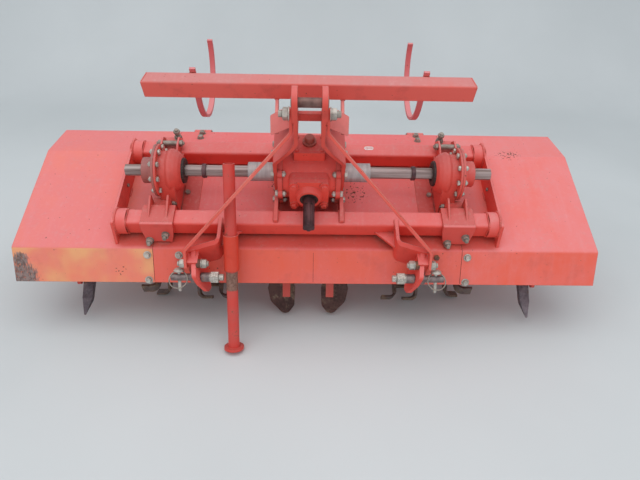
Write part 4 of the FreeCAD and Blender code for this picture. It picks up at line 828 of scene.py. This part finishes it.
foot_bolts, bushings = [], []
for side in (1, -1):
    foot_bolts += stood(outer_nut, BRACE_FOOT + [side * 360, 0, 0], (side, 0, 0))
    foot_bolts += stood(inner_nut, BRACE_FOOT + [side * 312.5, 0, 0], (-side, 0, 0))
    bushings += stood(bushing, BRACE_FOOT + [side * 324.6, 0, 0], (-side, 0, 0))
piece("brace_foot_bolts", foot_bolts, zinc)
piece("brace_foot_bushings", bushings, rusty_bolt)

# Lower link pins
# Turned 22 mm pins, shouldered and drawn up with a nut. A linch pin hangs through each,
# its spring ring folded down in front.
PIN_Y, PIN_Z = -88, -18
LINCH = 380
PLUMB = np.array([0.0, -0.661, -0.750])
RING_FALL = np.array([0.0, -0.975, -0.219])
RING_RADIUS = 26.5
link_steel = steel("link_steel", (0.15, 0.10, 0.10), (0.30, 0.24, 0.23), rust=0.42, metallic=0.5,
                   rough=0.42, drawn=(60.0, 60.0, 60.0),
                   plated=[((268, PIN_Y, PIN_Z), 30), ((-268, PIN_Y, PIN_Z), 30)])
dress(link_steel, *pair("link_pin"))
shank = turned([(-44, 2.5), (-42, 5.0), (15, 5.0), (16, 9.0), (17.5, 14.5), (20, 16.2), (24, 15.0),
                (27.5, 10.0), (28.5, 4.0)], 28)
linch_pins, rings = [], []
for side in (1, -1):
    middle = np.array([side * LINCH, PIN_Y, PIN_Z])
    linch_pins += stood(shank, middle, -PLUMB)
    hung = middle - 19.0 * PLUMB + RING_RADIUS * RING_FALL
    rings.append(carried(circle(hung, RING_RADIUS, -RING_FALL, (side, 0, 0), 56), 1.9, 8, True))
piece("linch_pins", linch_pins, zinc)
piece("linch_rings", rings, old_zinc)

# Parking leg
# Steel tube with a round foot in a welded sleeve. Where the tube runs in the sleeve its
# paint is rubbed off to brown steel; its open top is rusty.
LEG_X = -226.0
LEG_OFF = 50
SLEEVE_TOP = -56
leg_start = packed(on_lip(LEG_X, 0, LEG_OFF))
leg_heading = to_packed @ np.array([0.0, *LIP_DOWN])
leg_paint, wire, shader = finish("leg_paint", {"Specular IOR Level": 0.35})
place = wire.place()
down = place.along(leg_start, leg_heading)
soft = wire.softened(0.0015)
blotch = place.noise(24.0, 4.0, 0.6)
grit = place.noise(150.0, 3.0, 0.6)
fade = (soft.part("Z") * 0.5 + blotch).rise(0.3, 1.1)
colour = wire.mix(fade, (0.66, 0.056, 0.042), (0.56, 0.095, 0.08))
ragged = down + (blotch - 0.5) * 0.02
rubbed = ragged.rise(0.050, 0.054) * (1.0 - ragged.rise(0.108, 0.114))
slid = wire.mix(grit.rise(0.3, 0.7), (0.19, 0.095, 0.07), (0.33, 0.19, 0.15))
colour = wire.mix(rubbed, colour, slid)
scuffed = (blotch + grit * 0.5).rise(0.88, 0.98)
top_rust = 1.0 - (down + (blotch - 0.5) * 0.05).rise(-0.335, -0.320)
rust = scuffed.most(top_rust)
brown = wire.mix(grit.rise(0.35, 0.65), (0.08, 0.034, 0.024), (0.23, 0.10, 0.055))
colour = wire.mix(rust, colour, brown)
height = grit * 0.35 - rust * 0.3 + blotch * 0.3
feed(shader, Base_Color=colour, Normal=wire.bump(0.5, 0.0008, height, soft),
     Roughness=rust.most(rubbed) * 0.2 + blotch * 0.15 + 0.42, Metallic=rubbed * 0.35)
dress(leg_paint, "leg")
sleeve_paint = painted("sleeve_paint", (0.68, 0.050, 0.024), (0.60, 0.080, 0.048), fade=0.7,
                       rough=0.42)
dress(sleeve_paint, "leg_sleeve")
rim = circle(on_lip(LEG_X, SLEEVE_TOP, LEG_OFF), 19.6, (1, 0, 0), lip_out, 56)
beads = [carried(rim, 1.6, 8, True)]
for x in (LEG_X - 4.6, LEG_X + 4.6):
    beads.append(bead([on_lip(x, 6, 0.6), on_lip(x, 48, 0.6)], 2.8))
    beads.append(bead([on_lip(x, 6, 28.6), on_lip(x, 48, 28.6)], 2.4))
piece("sleeve_welds", beads, weld_paint)

# Rotor heads
# Cast cases with machined flange pairs, sprayed over, whose edges have worn; the right
# cover is fresher than the left.
FLANGE_INNER, FLANGE_JOINT, FLANGE_OUTER = 449, 456, 463
FLANGE_CIRCLE = 70.5
CASE_TURN = math.radians(254)
CASE_REACH = math.radians(58)
head_paint = painted("head_paint", (0.74, 0.080, 0.058), (0.60, 0.145, 0.135), fade=0.9, rust=0.55,
                     grime_and_shade=0.75, rough=0.47, grain=0.55)
clamp_paint = painted("clamp_paint", (0.74, 0.080, 0.060), (0.74, 0.205, 0.20), fade=0.95,
                      grime_and_shade=0.6, grain=0.15)
brown_cover = painted("brown_cover_paint", (0.42, 0.12, 0.10), (0.38, 0.16, 0.155), rust=0.8,
                      grime_and_shade=0.9, rough=0.5, grain=0.5)
dress(head_paint, "head_cover_right", *pair("head_case"))
dress(brown_cover, "head_cover_left")
dress(clamp_paint, *pair("front_clamp", "rear_clamp"))
flange_head = turned(hexed(14, 7))
flange_nut = turned(hexed(14, 7, stud=3, across=8))
spots = circle(SHAFT, FLANGE_CIRCLE, count=10, first=math.radians(9))
case_way = np.array([0.0, math.cos(CASE_TURN), math.sin(CASE_TURN)])
clear = (spots - SHAFT) @ case_way < FLANGE_CIRCLE * math.cos(CASE_REACH)
bolts = []
for side in (1, -1):
    bolts += stood(flange_head, spots[clear] + [side * FLANGE_INNER, 0, 0], (-side, 0, 0))
    bolts += stood(flange_nut, spots + [side * FLANGE_OUTER, 0, 0], (side, 0, 0))
piece("head_flange_bolts", bolts, zinc)
gasket = turned([(-0.35, 60.0), (0.35, 60.0), (0.35, 80.5), (-0.35, 80.5), (-0.35, 60.0)], 64)
joints = [SHAFT + [FLANGE_JOINT, 0, 0], SHAFT - [FLANGE_JOINT, 0, 0]]
piece("head_gaskets", stood(gasket, joints, (1, 0, 0)), seam_dirt)

# Clamp bolts
# Each saddle is drawn down on the front tube by two studs through its front jaw and a
# bolt through its foot. The rear strap has a cross bolt and an upright stud with two nuts.
JAW_RUN, JAW_FALL = 16.0, 73.0
SECOND_NUT = 22
STRAP_OUTER, STRAP_MIDDLE, STRAP_INNER = 478, 449, 420
jaw_out = np.array([0.0, -JAW_FALL, JAW_RUN])
jaw_stud = turned(hexed(19, 11, washer=24, stud=9, across=12))
jaw_spots = [(x, 20.0 + JAW_RUN * (z - 2.0) / JAW_FALL, z)
             for x, z in ((-478, 12), (-427, 35), (423, 12), (474, 35))]
piece("jaw_studs", stood(jaw_stud, jaw_spots, jaw_out), old_zinc)
cross_nut = turned(hexed(19, 10, stud=5, across=12))
foot_nut = turned(hexed(17, 9, stud=4, across=10))
cross_rod = turned([(-25, 8.5), (25, 8.5)], 20)
lower_nut = hexed(19, 10, washer=26, stud=11, across=12)[:-1]
upper_nut = [(rise + SECOND_NUT, *rest) for rise, *rest in hexed(19, 10, stud=5, across=12)]
strap_stud = turned(lower_nut + upper_nut)
bolts = []
for side in (1, -1):
    for x, heading in ((side * STRAP_OUTER, side), (side * STRAP_INNER, -side)):
        bolts += stood(cross_nut, [(x, 345, 90)], (heading, 0, 0))
        bolts += stood(foot_nut, [(x + heading * 0.5, 134, 47)], (heading, 0, 0))
    bolts += stood(cross_rod, [(side * STRAP_MIDDLE, 345, 90)], (1, 0, 0))
    bolts += stood(strap_stud, [(side * 433, 385, 75)], (0, 0, 1))
piece("strap_bolts", bolts, old_zinc)


# Rotors
# Steel hubs and discs with L blades bolted on. Work has polished the blades' cutting
# edges and left earth and rust elsewhere.
def worked(name, dark, light, earth, hub=None):
    """Steel that works in soil: scoured in clouds, dark with rust, with earth dried on in lumps.
    Within a hub's (point, reach) in mm some paint is left."""
    material, wire, shader = finish(name, {"Specular IOR Level": 0.45})
    place = wire.place()
    soft = wire.softened(0.0016)
    cloud = place.noise(13.0, 4.0, 0.6)
    grit = place.noise(130.0, 4.0, 0.65)
    colour = wire.mix((cloud * 0.7 + grit * 0.5).rise(0.45, 0.75), dark, light)
    if hub:
        middle, reach = packed(hub[0]), hub[1] / 1000.0
        rearward, upward = (place.along(middle, to_packed[:, axis]) for axis in (1, 2))
        away = rearward * rearward + upward * upward
        paint = (1.0 - away.rise(0.6 * reach ** 2, reach ** 2)) * cloud.rise(0.42, 0.58)
        colour = wire.mix(paint, colour, (0.42, 0.055, 0.04))
    lump = (1.0 - wire.openness(0.05)) * 0.5 + place.noise(32.0, 4.0, 0.6)
    lump = lump.rise(0.66 - 0.25 * earth, 0.80 - 0.25 * earth)
    soil = wire.mix(grit.rise(0.3, 0.7), (0.115, 0.072, 0.048), (0.24, 0.165, 0.115))
    colour = wire.mix(lump, colour, soil)
    scoured = (wire.edge(soft) * 1.2 + (grit - 0.5) * 0.5).rise(0.22, 0.42) * (1.0 - lump)
    colour = wire.mix(scoured, colour, (0.38, 0.34, 0.33))
    height = lump * 0.9 + grit * 0.35 + cloud * 0.5
    feed(shader, Base_Color=colour, Normal=wire.bump(0.6, 0.0014, height, soft),
         Metallic=(1.0 - lump) * 0.45, Roughness=lump * 0.35 + cloud * 0.2 + 0.36)
    return material


ROTOR = np.array([0.0, 125.0, -188.0])
ROTOR_MIDDLE = 428.0
HUB_REACH = 86
DISCS = (-128.0, -46.0, 52.0)
BENDS = ((1, -1), (-1, -1), (1, 1))  # which way each disc's even and odd blades bend
BLADES = 6
BLADE_FACE, DISC_FACE = 12.0, 4.0
BOLT_REACHES = (52.0, 72.0)
rotor_steel = worked("rotor_steel", (0.06, 0.038, 0.034), (0.17, 0.12, 0.11), earth=0.7,
                     hub=(ROTOR, HUB_REACH))
dress(rotor_steel, *pair("rotor"))
blade_bolt = turned(hexed(17, 8), 12)
for side, name in ((1, "right"), (-1, "left")):
    bolts = []
    for row, (offset, bends) in enumerate(zip(DISCS, BENDS)):
        for i in range(BLADES):
            bent = bends[i % 2]
            spoke = math.radians(180.0 + 20.0 * (row + 0.5) + 60.0 * i) - LEAN
            out = np.array([0.0, -math.sin(spoke), math.cos(spoke)])
            for reach in BOLT_REACHES:
                foot = ROTOR + out * reach
                on_blade = [side * (ROTOR_MIDDLE + offset + bent * BLADE_FACE), 0, 0]
                on_disc = [side * (ROTOR_MIDDLE + offset - bent * DISC_FACE), 0, 0]
                bolts += stood(blade_bolt, foot + on_blade, (side * bent, 0, 0))
                bolts += stood(blade_bolt, foot + on_disc, (-side * bent, 0, 0))
    piece("blade_bolts_" + name, bolts, rusty_bolt, "rotor_" + name)

# Tines and shares
# Forged points and spade shares, scoured grey or caked brown, each bolted to a flat shank
# that is painted with the frame.
TINE_X = 747.5
SHARE_TILT = math.radians(50)
SHARE_FOOT = np.array([75, -95, -270])
SHARE_HALF = 8.0
tine_steel = worked("tine_steel", (0.09, 0.072, 0.085), (0.21, 0.175, 0.195), earth=0.15)
share_steel = worked("share_steel", (0.045, 0.018, 0.016), (0.10, 0.045, 0.038), earth=0.3)
shank_paint = painted("shank_paint", (0.66, 0.062, 0.042), (0.60, 0.16, 0.14), fade=0.9, rust=0.9,
                      grime_and_shade=0.9, rough=0.5)
dress(tine_steel, *pair("tine"))
dress(share_steel, *pair("share"))
dress(shank_paint, *pair("tine_shank", "share_shank"))
tine_bolt = turned(hexed(19, 9))
bolts = []
for side in (1, -1):
    tine_spots = [(side * TINE_X, 14, -142), (side * TINE_X, 2, -172)]
    bolts += stood(tine_bolt, tine_spots, (side, 0, 0))
piece("tine_bolts", bolts, rusty_bolt)
share_up = np.array([0.0, math.cos(SHARE_TILT), math.sin(SHARE_TILT)])
share_out = np.array([0.0, -math.sin(SHARE_TILT), math.cos(SHARE_TILT)])
share_nut = turned(hexed(15, 8, stud=3, across=9), 18)
share_spots = [SHARE_FOOT * [side, 1, 1] + share_up * rise - share_out * SHARE_HALF
               for side in (1, -1) for rise in (88, 114)]
piece("share_nuts", stood(share_nut, share_spots, -share_out), rusty_bolt)

# Trailing board
# Folded sheet that levels the soil behind the rotors, hung on two strap hinges with pinned
# eyes and painted like the hood.
HINGE_X = 395
board_paint = painted("board_paint", (0.76, 0.085, 0.06), (0.70, 0.19, 0.185), rust=0.6, grime_and_shade=0.6,
                      rough=0.48, waves=2.2)
dress(board_paint, "trailing_board")
dress(frame_paint, *pair("hinge_strap"))
hinge_pins = [on_bevel(x, 185, -14) for x in (-HINGE_X, HINGE_X)]
hang = np.array([0.0, -math.sin(LEAN), -math.cos(LEAN)])
astern = np.array([0.0, math.cos(LEAN), -math.sin(LEAN)])
spots = [pin + hang * drop + astern * 8 for pin in hinge_pins for drop in (40, 74)]
piece("tongue_bolts", stood(turned(hexed(13, 6)), spots, astern), old_zinc, "trailing_board")
pin_clip = turned([(0, 6.0), (0, 9.5), (2.0, 9.5), (2.0, 6.0), (0, 6.0)], 20)
spots = [pin + [end, 0, 0] for pin in hinge_pins for end in (-32.6, 30.6)]
piece("hinge_clips", stood(pin_clip, spots, (1, 0, 0)), old_zinc)
